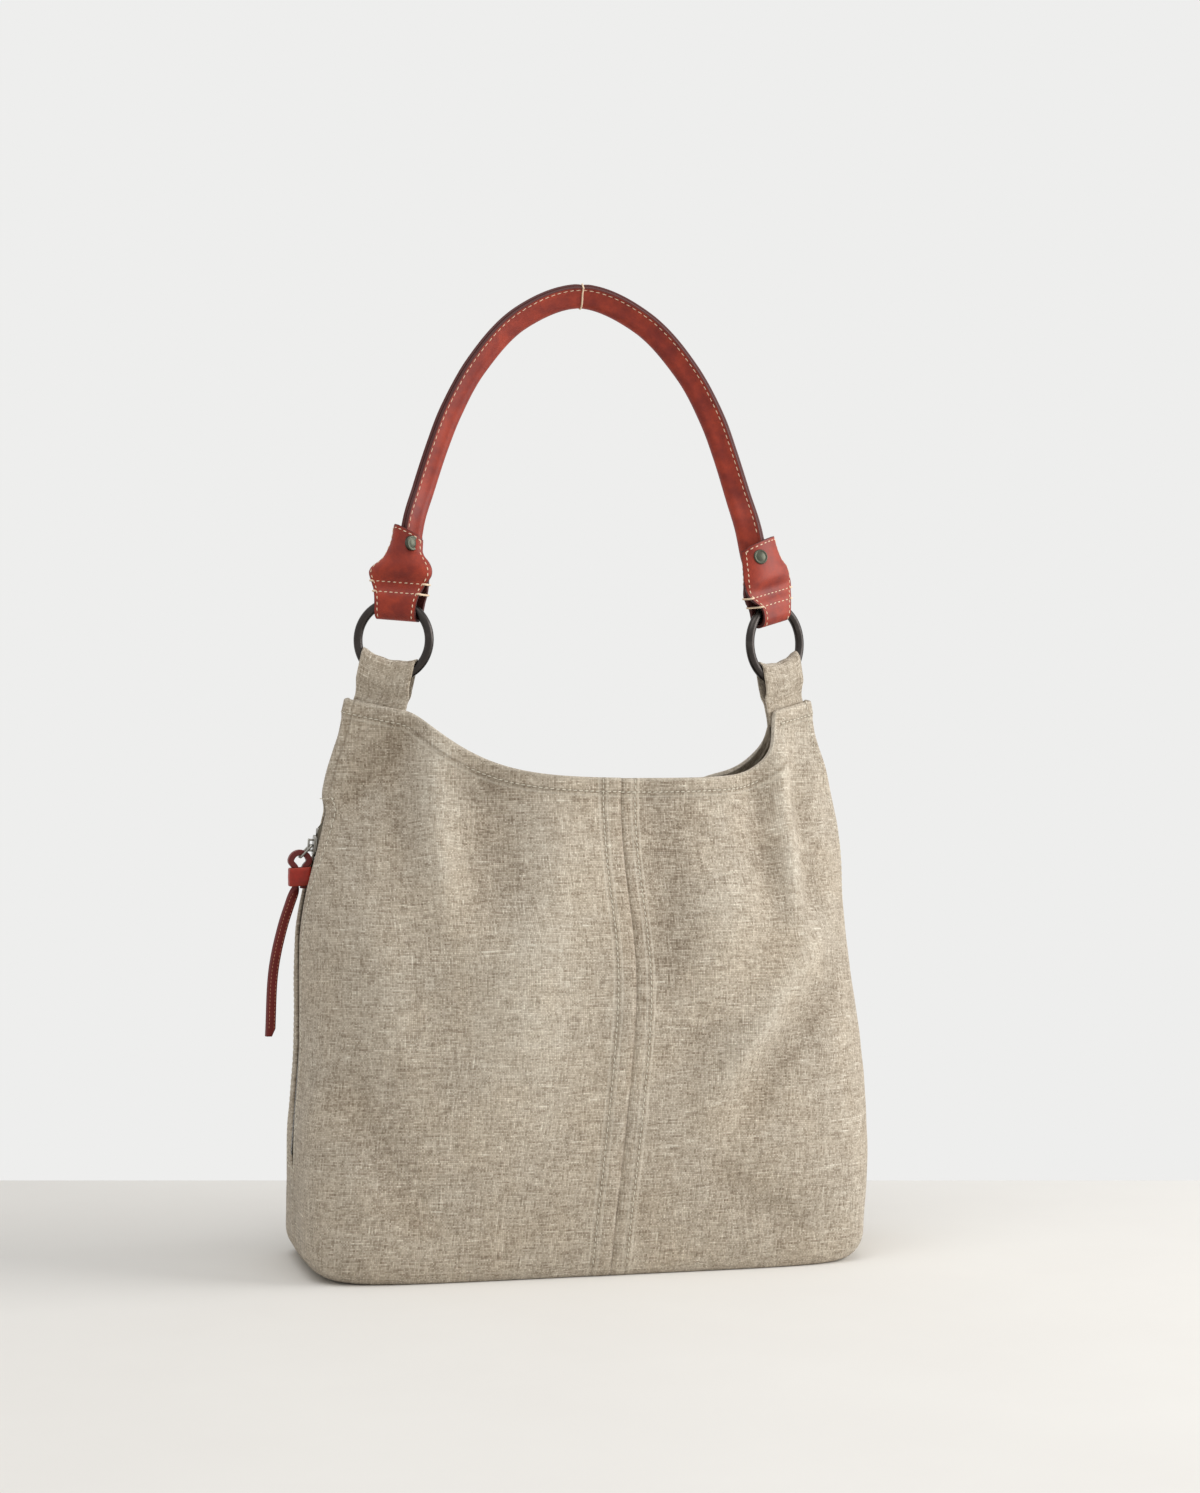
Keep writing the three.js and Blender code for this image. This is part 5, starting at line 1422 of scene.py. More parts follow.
def whipping_points():
    """A loop of thread round the handle at its top."""
    points, _, flange, across, _ = handle_frames()
    middle = len(points) // 2
    section = cover_section()[:COVER_OUTSIDE]
    loop = [points[middle] + 0.955 * (flange[middle] * u + across[middle] * v)
            + 0.3 * unit(flange[middle] * u + across[middle] * v) for u, v, _ in section]
    return np.array(loop)


RIVET_CAP = 8.8
RIVET_AT = {-1: (0.54, 34.2), 1: (0.42, 31.4)}
RIVET_FACING = math.radians(52.0)
RIVET_TURN = {-1: 0.66, 1: 0.12}
RIVET_PROFILE = [(0.0, 1.15), (0.25, 1.08), (0.45, 0.92), (0.6, 0.7), (0.68, 0.58), (0.74, 0.62),
                 (0.84, 0.86), (0.92, 0.78), (0.98, 0.5), (1.0, 0.1), (0.99, -1.4), (0.5, -1.5)]
BURR_PROFILE = [(0.0, 0.5), (0.3, 0.52), (0.42, 0.72), (0.52, 0.55), (0.62, 0.5), (0.78, 0.5),
                (0.8, 0.1), (0.78, -0.4), (0.4, -0.5)]


def rivet_place(side, face):
    """Where the rivet's line leaves a leather end, and its direction there."""
    t, h = RIVET_AT[side]
    point, out = chape_surface(side, face, t if face > 0 else t - 0.4, h)
    line = np.array([math.sin(RIVET_FACING), -math.cos(RIVET_FACING), 0.0]) * face
    turn = RIVET_TURN[side] if face > 0 else 0.0
    return point + out * 0.8 * turn, unit(line * turn + out * (1.0 - turn))


def disc_rings(point, out, profile, radius, sides):
    """The rings of a turned shape standing on a point."""
    side = unit(np.cross(out, UP))
    other = np.cross(out, side)
    turn = np.linspace(0.0, 2.0 * math.pi, sides + 1)[:-1]
    round_ = side * np.cos(turn)[:, None] + other * np.sin(turn)[:, None]
    return np.array([point + out * high + round_ * max(reach * radius, 0.02) for reach, high in profile])


def rivet_mesh(name, side):
    """A domed cap with a rolled rim in front and the peened burr behind."""
    meshes = []
    for face, profile in ((1, RIVET_PROFILE), (-1, BURR_PROFILE)):
        point, out = rivet_place(side, face)
        rings = disc_rings(point, out, profile, RIVET_CAP / 2, 36)
        meshes.append(tube_mesh(f"{name}_{face}", on_side(rings, side)))
    return joined_meshes(name, meshes, "Antique rivet metal")


def joined_meshes(name, things, material):
    """Several closed meshes as one piece with one finish."""
    work = bmesh.new()
    for thing in things:
        work.from_mesh(thing.data)
        mesh = thing.data
        bpy.data.objects.remove(thing)
        bpy.data.meshes.remove(mesh)
    mesh = bpy.data.meshes.new(name)
    work.to_mesh(mesh)
    work.free()
    mesh.materials.append(finish_of(material))
    return link_object(name, mesh)


# Zip in the left side seam
CHAIN_FLUSH = 0.5
TAPE = 0.8
TAPE_EDGE = 1.9
TAPE_SPREAD = 3.2
TAPE_BEND = 4.9
TAPE_MEASURED = 40
TOOTH_PITCH = 2.0
TOOTH_HIGH = 1.15
TOOTH_THICK = 2.4
TOOTH_REACH = 2.7
TOOTH_LAP = 0.45
SLIDER_WIDE = 8.8
SLIDER_LONG = 12.0
SLIDER_PLATE = 1.1
BRIDGE_LONG = 7.5
BRIDGE_WIDE = 2.6
STOP_LONG = 3.0
STOP_WIDE = 1.5
BAIL_WIRE = 1.5
BAIL_REACH = 9.4
BAIL_CORNER = 1.1
BAIL_FALL = math.radians(46.0)


def chain_end(z):
    """Where the zip's chain lies at one of its ends."""
    level = level_section(z)
    return np.array([CHAIN_FLUSH - level["left"], level["seam_y"], z])


chain_low, chain_high = chain_end(ZIP_LOW), chain_end(ZIP_HIGH)
chain_up = unit(chain_high - chain_low)
chain_out = unit(np.array([-1.0, 0.0, 0.0]) + chain_up * chain_up[0])
chain_side = np.cross(chain_up, chain_out)


def chain_point(z):
    """The chain's middle at a height."""
    share = (np.asarray(z, float)[..., None] - ZIP_LOW) / (ZIP_HIGH - ZIP_LOW)
    return chain_low + (chain_high - chain_low) * share


def by_slider(out, across, along):
    """Points from places out of the bag, across the chain and along it, at the closed slider."""
    out, across, along = (np.asarray(a, float)[..., None] for a in (out, across, along))
    return chain_point(ZIP_CLOSED) + chain_out * out + chain_side * across + chain_up * along


def tucked(z):
    """How far the tapes have gone in under the cloth beyond the ends of the chain."""
    above = smooth(ZIP_CLOSED + 8.0, ZIP_HIGH - 4.0, z)
    below = smooth(ZIP_LOW + 4.0, ZIP_LOW - 3.0, z)
    return float(np.maximum(above, below))


def zip_tape(name, face):
    """One woven tape from its corded edge to where it is sewn under the cloth."""
    quarter = QUARTERS[-1, face]
    heights = np.linspace(ZIP_LOW - SLIT_END / 2, ZIP_HIGH + SLIT_END / 2, 96)
    outer, inner = [], []
    for z in heights:
        first = float(quarter.first(z))
        sewn, out = quarter.cloth(first + np.array([1.6, 4.0, 7.0, 10.5]), z)
        sewn = sewn - out * (CLOTH + 0.5)
        room = abs(sewn[0, 1] - chain_point(z)[1])
        open_ = mix(TAPE_EDGE, TAPE_SPREAD, float(smooth(ZIP_CLOSED - 7.0, ZIP_CLOSED, z)))
        marks = [min(open_, room - 1.8), min(open_ + 1.0, room - 1.5), min(TAPE_BEND, room - 1.0)]
        under = chain_point(z) + (sewn[0] - chain_point(z)) * np.array([1.0, 0.0, 0.0])
        base = mix(chain_point(z), under, tucked(z))
        beside = [base + np.array([0.0, face * mark, 0.0]) for mark in marks]
        thick = [1.0, TAPE / 2, TAPE / 2]
        lift = np.array([-1.0, 0.0, 0.0])
        outer.append([p + lift * t for p, t in zip(beside, thick)] + list(sewn))
        inner.append([p - lift * t for p, t in zip(beside, thick)] + list(sewn - out * TAPE))
    outer, inner = np.array(outer), np.array(inner)
    run = running(outer[TAPE_MEASURED])
    u, v = np.broadcast_arrays(run[None, :], heights[:, None])
    made = sheet_mesh(name, outer, inner, {}, np.stack([u + face * 60.0, v], axis=-1))
    return dress(made, "Zip tape")


def teeth_tree():
    """Geometry Nodes: one zip tooth, a block with a rounded nose, at every point of a line."""
    tree, given, node = node_tree(TEETH_TREE, ("Pitch", "Reach", "High", "Thick", "Lap"),
                                  [("Turn", "Vector"), ("Metal", "Material")])
    curve = node("GeometryNodeMeshToCurve", {"Mesh": given["Geometry"]})
    even = node("GeometryNodeResampleCurve", {"Curve": curve, "Length": given["Pitch"]}, mode="LENGTH")
    size = node("ShaderNodeCombineXYZ", {"X": given["Reach"], "Y": given["High"], "Z": given["Thick"]})
    block = node("GeometryNodeMeshCube", {"Size": size, "Vertices X": 2, "Vertices Y": 2, "Vertices Z": 2})
    half = node("ShaderNodeMath", {0: given["Reach"], 1: 0.5}, operation="MULTIPLY")
    back = node("ShaderNodeMath", {0: half, 1: given["Lap"]}, operation="SUBTRACT")
    placed = node("GeometryNodeTransform", {"Geometry": block,
                                            "Translation": node("ShaderNodeCombineXYZ", {"X": back})})
    nose = node("GeometryNodeMeshUVSphere", {"Segments": 8, "Rings": 5, "Radius": 0.5})
    nose_size = node("ShaderNodeCombineXYZ", {"X": given["High"], "Y": given["High"], "Z": given["Thick"]})
    flip = node("ShaderNodeMath", {0: given["Lap"], 1: -1.0}, operation="MULTIPLY")
    nose_placed = node("GeometryNodeTransform", {"Geometry": nose, "Scale": nose_size,
                                                 "Translation": node("ShaderNodeCombineXYZ", {"X": flip})})
    both = node("GeometryNodeJoinGeometry", {0: [placed, nose_placed]})
    copies = node("GeometryNodeInstanceOnPoints", {"Points": even, "Instance": both,
                                                   "Rotation": given["Turn"]})
    real = node("GeometryNodeRealizeInstances", {"Geometry": copies})
    dyed = node("GeometryNodeSetMaterial", {"Geometry": real, "Material": given["Metal"]})
    node("NodeGroupOutput", {"Geometry": dyed})
    return tree


def zip_teeth(name, face):
    """The teeth that clasp one tape's corded edge."""
    start = chain_point(ZIP_LOW) + chain_up * TOOTH_PITCH * (0.25 if face < 0 else 0.75)
    end = chain_point(ZIP_CLOSED - SLIDER_LONG / 2 + 1.0)
    mesh = bpy.data.meshes.new(name)
    mesh.from_pydata([tuple(start * MM), tuple(end * MM)], [(0, 1)], [])
    away = np.array([0.0, float(face), 0.0])
    frame_ = Matrix((away, np.cross(chain_out, away), chain_out)).transposed()
    return run_tree(name, mesh, bpy.data.node_groups.get(TEETH_TREE) or teeth_tree(), {
        "Pitch": TOOTH_PITCH * MM, "Reach": TOOTH_REACH * MM, "High": TOOTH_HIGH * MM,
        "Thick": TOOTH_THICK * MM, "Lap": TOOTH_LAP * MM, "Turn": tuple(frame_.to_euler()),
        "Metal": finish_of("Dark zip teeth")})


def extruded(name, outline_, low, high, bevel):
    """A flat outline in the slider's frame, raised from low to high, its edges rounded."""
    work = bmesh.new()
    rings = [[work.verts.new(tuple(by_slider(out, across, along) * MM)) for across, along in outline_]
             for out in (low, high)]
    count = len(outline_)
    work.faces.new(rings[0][::-1])
    work.faces.new(rings[1])
    for i in range(count):
        j = (i + 1) % count
        work.faces.new((rings[0][i], rings[0][j], rings[1][j], rings[1][i]))
    bmesh.ops.recalc_face_normals(work, faces=work.faces)
    caps = [edge for edge in work.edges
            if len({v.index for v in edge.verts}) == 2 and edge.calc_face_angle(0.0) > 0.9]
    bmesh.ops.bevel(work, geom=caps, offset=bevel * MM, segments=3, profile=0.5,
                    affect="EDGES", clamp_overlap=True)
    mesh = bpy.data.meshes.new(name)
    work.to_mesh(mesh)
    work.free()
    made = link_object(name, mesh)
    fix_normals(made)
    return made


def slider_outline(wide, long_):
    """The slider's plate: a rounded foot, wide shoulders and two rounded lobes at the top."""
    half, tall = wide / 2, long_ / 2
    right = [(0.0, -tall), (half * 0.5, -tall * 0.99), (half * 0.74, -tall * 0.9), (half * 0.84, -tall * 0.7),
             (half * 0.88, -tall * 0.2), (half * 0.97, tall * 0.2), (half, tall * 0.5),
             (half * 0.94, tall * 0.78), (half * 0.74, tall * 0.96), (half * 0.45, tall),
             (half * 0.2, tall * 0.9), (0.0, tall * 0.8)]
    return right + [(-a, b) for a, b in right[-2:0:-1]]


def box_outline(wide, long_, corner):
    """A rectangle with rounded corners."""
    half, tall = wide / 2 - corner, long_ / 2 - corner
    outline_ = []
    for i, (a, b) in enumerate(((1, -1), (1, 1), (-1, 1), (-1, -1))):
        for step in range(4):
            turn = math.pi / 2 * (i - 1 + step / 3)
            outline_.append((a * half + corner * math.cos(turn), b * tall + corner * math.sin(turn)))
    return outline_


# Rounding of the slider's and stops' edges, and the slider's bridge, in millimetres
METAL_ROUND = 0.3
BRIDGE_THICK = 1.0


def zip_slider(name):
    """The slider: two plates with a post between them, flanks and the bridge for the bail."""
    clear = TOOTH_THICK / 2 + GAP
    top = clear + SLIDER_PLATE + BAIL_WIRE + 2 * GAP
    plate = slider_outline(SLIDER_WIDE, SLIDER_LONG)
    parts = [
        extruded("plate", plate, clear, clear + SLIDER_PLATE, METAL_ROUND),
        extruded("under", plate, -clear - SLIDER_PLATE, -clear, METAL_ROUND),
        extruded("post", [(a, b + SLIDER_LONG / 2 - 2.4) for a, b in box_outline(1.4, 3.2, 0.4)],
                 -clear - 0.2, clear + 0.2, 0.1),
        extruded("bridge", box_outline(BRIDGE_WIDE, BRIDGE_LONG, 0.8), top, top + BRIDGE_THICK,
                 METAL_ROUND),
    ]
    for way in (-1, 1):
        leg = [(a, b + way * (BRIDGE_LONG / 2 - 0.7)) for a, b in box_outline(BRIDGE_WIDE - 0.3, 1.2, 0.3)]
        parts.append(extruded("leg", leg, clear + SLIDER_PLATE - 0.2, top + 0.4, 0.12))
        flank = [(a + way * (SLIDER_WIDE / 2 - 0.62), b + 0.4) for a, b in box_outline(0.9, 8.6, 0.3)]
        for low in (clear - 0.7, -clear - 0.2):
            parts.append(extruded("flank", flank, low, low + 0.9, 0.15))
    return joined_meshes(name, parts, "Pale zip metal")


def zip_stop(name, face):
    """The folded metal clip that ends one row of teeth."""
    across = face * (TAPE_SPREAD - 2 * GAP - STOP_WIDE / 2) * np.sign(chain_side[1])
    outline_ = [(a + across, b + SLIDER_LONG / 2 + STOP_LONG / 2 + 1.0)
                for a, b in box_outline(STOP_WIDE, STOP_LONG, 0.45)]
    made = extruded(name, outline_, -TOOTH_THICK / 2, TOOTH_THICK / 2, METAL_ROUND)
    return dress(made, "Pale zip metal")


# The pull hangs from the bail's hinge line in the slider's bridge
STRAP_WIDE = 6.2
STRAP_THICK = 3.2
STRAP_HANG_WIDE = 5.5
STRAP_HANG_THICK = 2.7
STRAP_LOOP = 5.2
STRAP_TWIST = math.radians(68.0)
STRAP_DROP = [(0, 8), (0.3, 14), (3.4, 23), (8.2, 38), (13.2, 62), (15.2, 100)]
KEEPER_TALL = 10.4
KEEPER_THICK = 1.5
KEEPER_CORNER = 1.3
KEEPER_BELOW_LOOP = 1.8
HINGE_OUT = TOOTH_THICK / 2 + GAP + SLIDER_PLATE + GAP + BAIL_WIRE / 2
hinge = by_slider(HINGE_OUT, 0.0, 0.0)
bail_along = np.array([-math.cos(BAIL_FALL), 0.0, -math.sin(BAIL_FALL)])
bail_tip = hinge + bail_along * BAIL_REACH
loop_centre = bail_tip - UP * (STRAP_LOOP - STRAP_THICK / 2 - BAIL_WIRE / 2 - GAP)
STRAP_PINCH = STRAP_THICK / 2 + GAP
KEEPER_TOP = -STRAP_THICK / 2 - KEEPER_BELOW_LOOP


def bail_mesh(name):
    """The wire link between the slider's bridge and the strap's loop."""
    half = STRAP_WIDE / 2 + GAP + BAIL_WIRE / 2
    middle = (hinge + bail_tip) / 2
    across = np.array([0.0, 1.0, 0.0])
    flat = [middle + across * a + bail_along * b for a, b in box_outline(2 * half, BAIL_REACH, BAIL_CORNER)]
    points, along = even_loop(np.array(flat), 72)
    out = np.broadcast_to(unit(np.cross(across, bail_along)), points.shape)
    rings = round_rings(points, BAIL_WIRE / 2 * 0.96, np.cross(along, out), out, 12)
    return dress(tube_mesh(name, rings, closed=True), "Pale zip metal")


def strap_frames():
    """The strap's middle line from its short end over the bail to the tip, with its frame."""
    def at(x, z):
        return loop_centre + np.array([x, 0.0, z])

    points = [at(STRAP_PINCH, KEEPER_TOP - KEEPER_TALL - 1.5), at(STRAP_PINCH, KEEPER_TOP - KEEPER_TALL / 2),
              at(STRAP_PINCH + 0.8, KEEPER_TOP)]
    points += [at(STRAP_LOOP * math.cos(a), STRAP_LOOP * math.sin(a)) for a in np.linspace(0.0, math.pi, 7)]
    points.append(at(-STRAP_PINCH - 0.8, KEEPER_TOP))
    points += [at(-STRAP_PINCH - out, -down) for out, down in STRAP_DROP]
    middle, length = even_path(points, 150)
    along = unit(np.gradient(middle, axis=0))
    share = np.linspace(0.0, 1.0, len(middle))
    hang = np.where(share > 0.35, smooth(10.5, 22.0, loop_centre[2] - middle[:, 2]), 0.0)
    late = hang[:, None] * STRAP_TWIST
    plain = np.array([0.0, -1.0, 0.0])
    across = unit(plain * np.cos(late) + np.cross(along, plain) * np.sin(late))
    half = mix(STRAP_WIDE, STRAP_HANG_WIDE, hang) / 2
    thick = mix(STRAP_THICK, STRAP_HANG_THICK, hang) / 2
    return middle, across, unit(np.cross(along, across)), half, thick, share * length, length


def strap_mesh(name):
    """The pull's strap: two strands of leather, its long end cut to a slanting point."""
    middle, across, face, half, thick, run, length = strap_frames()
    section = []
    for i, (a, b) in enumerate(((1, 1), (-1, 1), (-1, -1), (1, -1))):
        for step in range(4):
            turn = math.pi / 2 * (i + step / 3)
            section.append((a * 0.85 + 0.15 * math.cos(turn), b * 0.72 + 0.28 * math.sin(turn)))
        if a * b < 0:
            section += [(a * 1.0, b * s) for s in (0.35, 0.0, -0.35)]
    section = np.array(section)
    worn = smooth(0.8, 0.99, np.abs(section[:, 0]))
    point = np.minimum(1.0, 0.2 + (length - run) / 5.5)[:, None]
    u = section[None, :, 0] * half[:, None]
    u = np.where(u > 0, u, u * point)
    v = section[None, :, 1] * thick[:, None]
    rings = middle[:, None] + across[:, None] * u[..., None] + face[:, None] * v[..., None]
    made = tube_mesh(name, rings, fields={"edge": worn})
    return dress(made, "Burgundy leather")


def strap_lines():
    """The strap's two rows of stitching on each of its faces."""
    middle, across, face, half, thick, run, length = strap_frames()
    below = loop_centre[2] - middle[:, 2]
    kept = (run > length * 0.35) & (below > KEEPER_TALL + 8.0) & (length - run > 5.0)
    lines = []
    for way in (1, -1):
        for end in (1, -1):
            line = middle + across * (end * (half - 1.1))[:, None] + face * (way * (thick - 0.03))[:, None]
            lines.append((line[kept], (face * way)[kept]))
    return lines


def keeper_mesh(name):
    """The bright leather band round both strands."""
    middle = loop_centre + UP * (KEEPER_TOP - KEEPER_TALL / 2)
    deep = STRAP_PINCH + STRAP_THICK / 2 + 1.4 + KEEPER_THICK / 2
    wide = STRAP_WIDE / 2 + GAP + KEEPER_THICK / 2
    flat, ahead = even_loop(np.array(box_outline(2 * deep, 2 * wide, KEEPER_CORNER)), 96)
    out = np.stack([ahead[:, 1], -ahead[:, 0]], axis=1)
    half, tall = KEEPER_THICK / 2, KEEPER_TALL / 2
    section = np.array([(half, -tall + 0.5), (half, -tall / 2), (half + 0.12, 0.0), (half, tall / 2),
                        (half, tall - 0.5), (half - 0.4, tall), (-half + 0.4, tall),
                        (-half, tall - 0.5), (-half, 0.0), (-half, -tall + 0.5), (-half + 0.4, -tall),
                        (half - 0.4, -tall)])
    worn = np.array([0.2, 0, 0, 0, 0.2, 0.8, 0.9, 0.8, 0.8, 0.8, 0.9, 0.8])
    rings = np.zeros((len(flat), len(section), 3))
    rings[..., :2] = flat[:, None] + out[:, None] * section[None, :, 0:1]
    rings[..., 2] = section[None, :, 1] + 0.06 * rings[..., 0]
    made = tube_mesh(name, rings + middle, closed=True, fields={"edge": worn})
    return dress(made, "Keeper leather")


SIDES = ((-1, "left"), (1, "right"))
FACES = ((-1, "front"), (1, "back"))


class LinenBagSizes(bpy.types.PropertyGroup):
    """Sizes that a user would change."""

    thread_pitch: bpy.props.FloatProperty(
        name="Thread pitch", description="Distance between the cloth's threads, in millimetres",
        default=0.9, min=0.4, max=3.0)
    columns: bpy.props.IntProperty(
        name="Cloth columns", description="Columns of cloth faces from a side seam to a centre seam",
        default=92, min=20, max=200)
    rows: bpy.props.IntProperty(
        name="Cloth rows", description="Rows of cloth faces from the base to the rim",
        default=150, min=30, max=260)


def colour_setting(name, description, *steps):
    """A colour that a user can change, from its red, green and blue in 0 to 255 steps."""
    return bpy.props.FloatVectorProperty(
        name=name, description=description, subtype="COLOR", size=3, default=srgb(*steps), min=0.0, max=1.0)


class LinenBagColours(bpy.types.PropertyGroup):
    """Colours that a user would change."""

    linen: colour_setting("Linen", "Middle colour of the flax threads", 195, 182, 163)
    # Pale linen is also the painted highlight on the rim's edge and on the puckers beside the stitching
    linen_pale: colour_setting("Pale linen", "Slubs and worn edges", 236, 228, 211)
    # Dark linen is also the painted shade in the stitch furrows and the folds' valleys
    linen_dark: colour_setting("Dark linen", "Gaps between threads and dark fibres", 134, 119, 100)
    linen_thread: colour_setting("Linen thread", "Thread of the cloth's stitching", 232, 225, 207)
    leather: colour_setting("Leather", "Red-brown leather of the handle and its ends", 170, 62, 38)
    leather_shade: colour_setting("Leather shade", "Darker clouds and pores of the leather", 120, 38, 28)
    # The edge colour is also painted shade on the leather ends' inner faces
    leather_edge_and_shade: colour_setting("Leather edge", "Burnished raw edges", 78, 32, 28)
    strap: colour_setting("Pull strap", "Burgundy leather of the zip's pull", 130, 48, 44)
    thread: colour_setting("Thread", "Cream thread on the leather", 240, 214, 184)
    ring: colour_setting("Rings", "Dark plating of the rings", 64, 60, 58)
    rivet: colour_setting("Rivets", "Antique plating of the rivets", 78, 80, 70)
    keeper: colour_setting("Keeper", "Bright red leather of the strap's keeper", 186, 52, 40)
    strap_thread: colour_setting("Strap thread", "Thread on the zip's pull", 196, 140, 112)
    zip_tape: colour_setting("Zip tape", "Woven tapes of the zip", 120, 112, 96)
    zip_teeth: colour_setting("Zip teeth", "Dark plating of the zip's teeth", 92, 88, 82)
    zip_metal: colour_setting("Zip metal", "Slider, bail and stops of the zip", 150, 147, 140)


class LINENBAG_OT_body(bpy.types.Operator):
    """Make the four washed linen panels of the body"""

    bl_idname = "linenbag.body"
    bl_label = "Body"

    def execute(self, context):
        sizes = context.scene.linen_bag_sizes
        for side, side_name in SIDES:
            for face, face_name in FACES:
                node = f"{face_name}_panel_{side_name}"
                panel = body_panel(f"cloth_{face_name}_{side_name}", side, face, sizes.columns, sizes.rows)
                settle(panel, "bag", "linen", node)
        return {"FINISHED"}


class LINENBAG_OT_facings(bpy.types.Operator):
    """Make the turned-in strips inside the rim"""

    bl_idname = "linenbag.facings"
    bl_label = "Rim facings"

    def execute(self, context):
        for face, face_name in FACES:
            strip = rim_facing(f"hem_{face_name}", face)
            settle(strip, "bag", "linen", f"rim_facing_{face_name}")
        return {"FINISHED"}


class LINENBAG_OT_cloth_stitches(bpy.types.Operator):
    """Sew the topstitching beside the seams, the zip and the rim"""

    bl_idname = "linenbag.cloth_stitches"
    bl_label = "Cloth stitching"

    def execute(self, context):
        for side, side_name in SIDES:
            for face, face_name in FACES:
                sew(f"stitches_{face_name}_{side_name}", stitch_lines(QUARTERS[side, face]), "bag",
                    "linen", "Linen thread", pitch=3.3, length=2.6, width=0.6, lift=0.03, slant=0.1)
        return {"FINISHED"}


class LINENBAG_OT_tabs(bpy.types.Operator):
    """Make the cloth tabs that hold the rings"""

    bl_idname = "linenbag.tabs"
    bl_label = "Tabs"

    def execute(self, context):
        for side, side_name in SIDES:
            tab = tab_mesh(f"loop_{side_name}", side)
            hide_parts(f"tab_{side_name}")
            foot, turn = (on_side(ring_place(0.0, 0.0, h), side) * MM for h in (-2.0, 10.0))
            tuple(foot)
            tuple(turn)
            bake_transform(tab)
        return {"FINISHED"}


class LINENBAG_OT_rings(bpy.types.Operator):
    """Make the two round wire rings"""

    bl_idname = "linenbag.rings"
    bl_label = "Rings"

    def execute(self, context):
        for side, side_name in SIDES:
            ring = ring_mesh(f"o_ring_{side_name}", side)
            settle(ring, f"ring_{side_name}", "ring_metal", f"ring_{side_name}")
        return {"FINISHED"}


class LINENBAG_OT_chapes(bpy.types.Operator):
    """Make the stitched leather ends with their thread wraps and rivets"""

    bl_idname = "linenbag.chapes"
    bl_label = "Leather ends"

    def execute(self, context):
        for side, side_name in SIDES:
            chape = chape_mesh(f"leather_end_{side_name}", side)
            settle(chape, "handle", "chape_leather", f"chape_{side_name}")
            sew(f"leather_end_stitches_{side_name}", chape_lines(side), "handle", "chape_leather",
                "Cream thread", pitch=3.2, length=2.15, width=0.66, lift=0.02, slant=0.08)
            wraps = [chape_wrap(side, h, end) for h in CHAPE_ROWS[side] for end in (-1, 1)]
            for index, points in enumerate(wraps, 1):
                thread_loop(f"thread_wrap_{side_name}_{index}", on_side(points, side), 0.6,
                            "Cream thread", "handle", "chape_leather")
            rivet = rivet_mesh(f"domed_rivet_{side_name}", side)
            settle(rivet, "handle", "rivet_metal", f"rivet_{side_name}")
        return {"FINISHED"}


class LINENBAG_OT_handle(bpy.types.Operator):
    """Make the folded and sewn leather handle with its cord core"""

    bl_idname = "linenbag.handle"
    bl_label = "Handle"

    def execute(self, context):
        settle(handle_cover("rolled_handle"), "handle", "handle_leather", "handle_cover")
        sew("handle_stitches", handle_lines(), "handle", "handle_leather", "Cream thread",
            pitch=3.9, length=2.9, width=0.66, lift=0.0, slant=0.06)
        thread_loop("handle_whipping", whipping_points(), 0.5, "Cream thread", "handle",
                    "handle_leather", closed=True)
        middle = handle_frames()[0][8:-8]
        core = thread_loop("cord_core", middle, CORE / 2, "Linen thread", "handle", "cord")
        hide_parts("handle_core")
        return {"FINISHED"}


class LINENBAG_OT_zip(bpy.types.Operator):
    """Make the zip's tapes, teeth, stops and slider"""

    bl_idname = "linenbag.zip"
    bl_label = "Zip"

    def execute(self, context):
        for face, face_name in FACES:
            settle(zip_tape(f"tape_{face_name}", face), "bag", "zip_tape", f"zip_tape_{face_name}")
            settle(zip_teeth(f"zip_teeth_{face_name}", face), "bag", "zip_tape")
            settle(zip_stop(f"stop_{face_name}", face), "bag", "zip_metal", f"zip_stop_{face_name}")
        settle(zip_slider("slider_body"), "slider", "zip_metal", "zip_slider")
        return {"FINISHED"}


class LINENBAG_OT_pull(bpy.types.Operator):
    """Make the zip's pull: wire link, stitched strap and keeper"""

    bl_idname = "linenbag.pull"
    bl_label = "Zip pull"

    def execute(self, context):
        settle(bail_mesh("wire_link"), "pull", "zip_metal", "zip_bail")
        settle(strap_mesh("long_strap"), "pull", "strap_leather", "pull_strap")
        sew("strap_stitches", strap_lines(), "pull", "strap_leather", "Strap thread",
            pitch=2.1, length=1.5, width=0.42, lift=0.02, slant=0.05)
        settle(keeper_mesh("strap_keeper"), "pull", "keeper_leather", "pull_keeper")
        return {"FINISHED"}


# The camera's turn and place in metres, its focal length and the picture's height in pixels
CAMERA_TURN = math.radians(14.0)
CAMERA_RIGHT = 0.0127
CAMERA_BACK = 1.610
CAMERA_HIGH = 0.300
FOCAL_PIXELS = 2734.0
PICTURE_TALL = 1493.0
SENSOR = 36.0
FLOOR_BEHIND = 0.28
FLOOR_AHEAD = 4
FLOOR_HALF = 3
FILL_STRENGTH = 0.47
# Each lamp's name, its place to the right, ahead and up in metres, its size and its power
LAMPS = (("Right window", 2.1, -0.2, 1.0, 1.5, 40.0), ("High soft box", -0.3, -0.9, 2.4, 1.8, 24.0))
LAMPS_AIM = Vector((0.0, 0.0, 0.22))


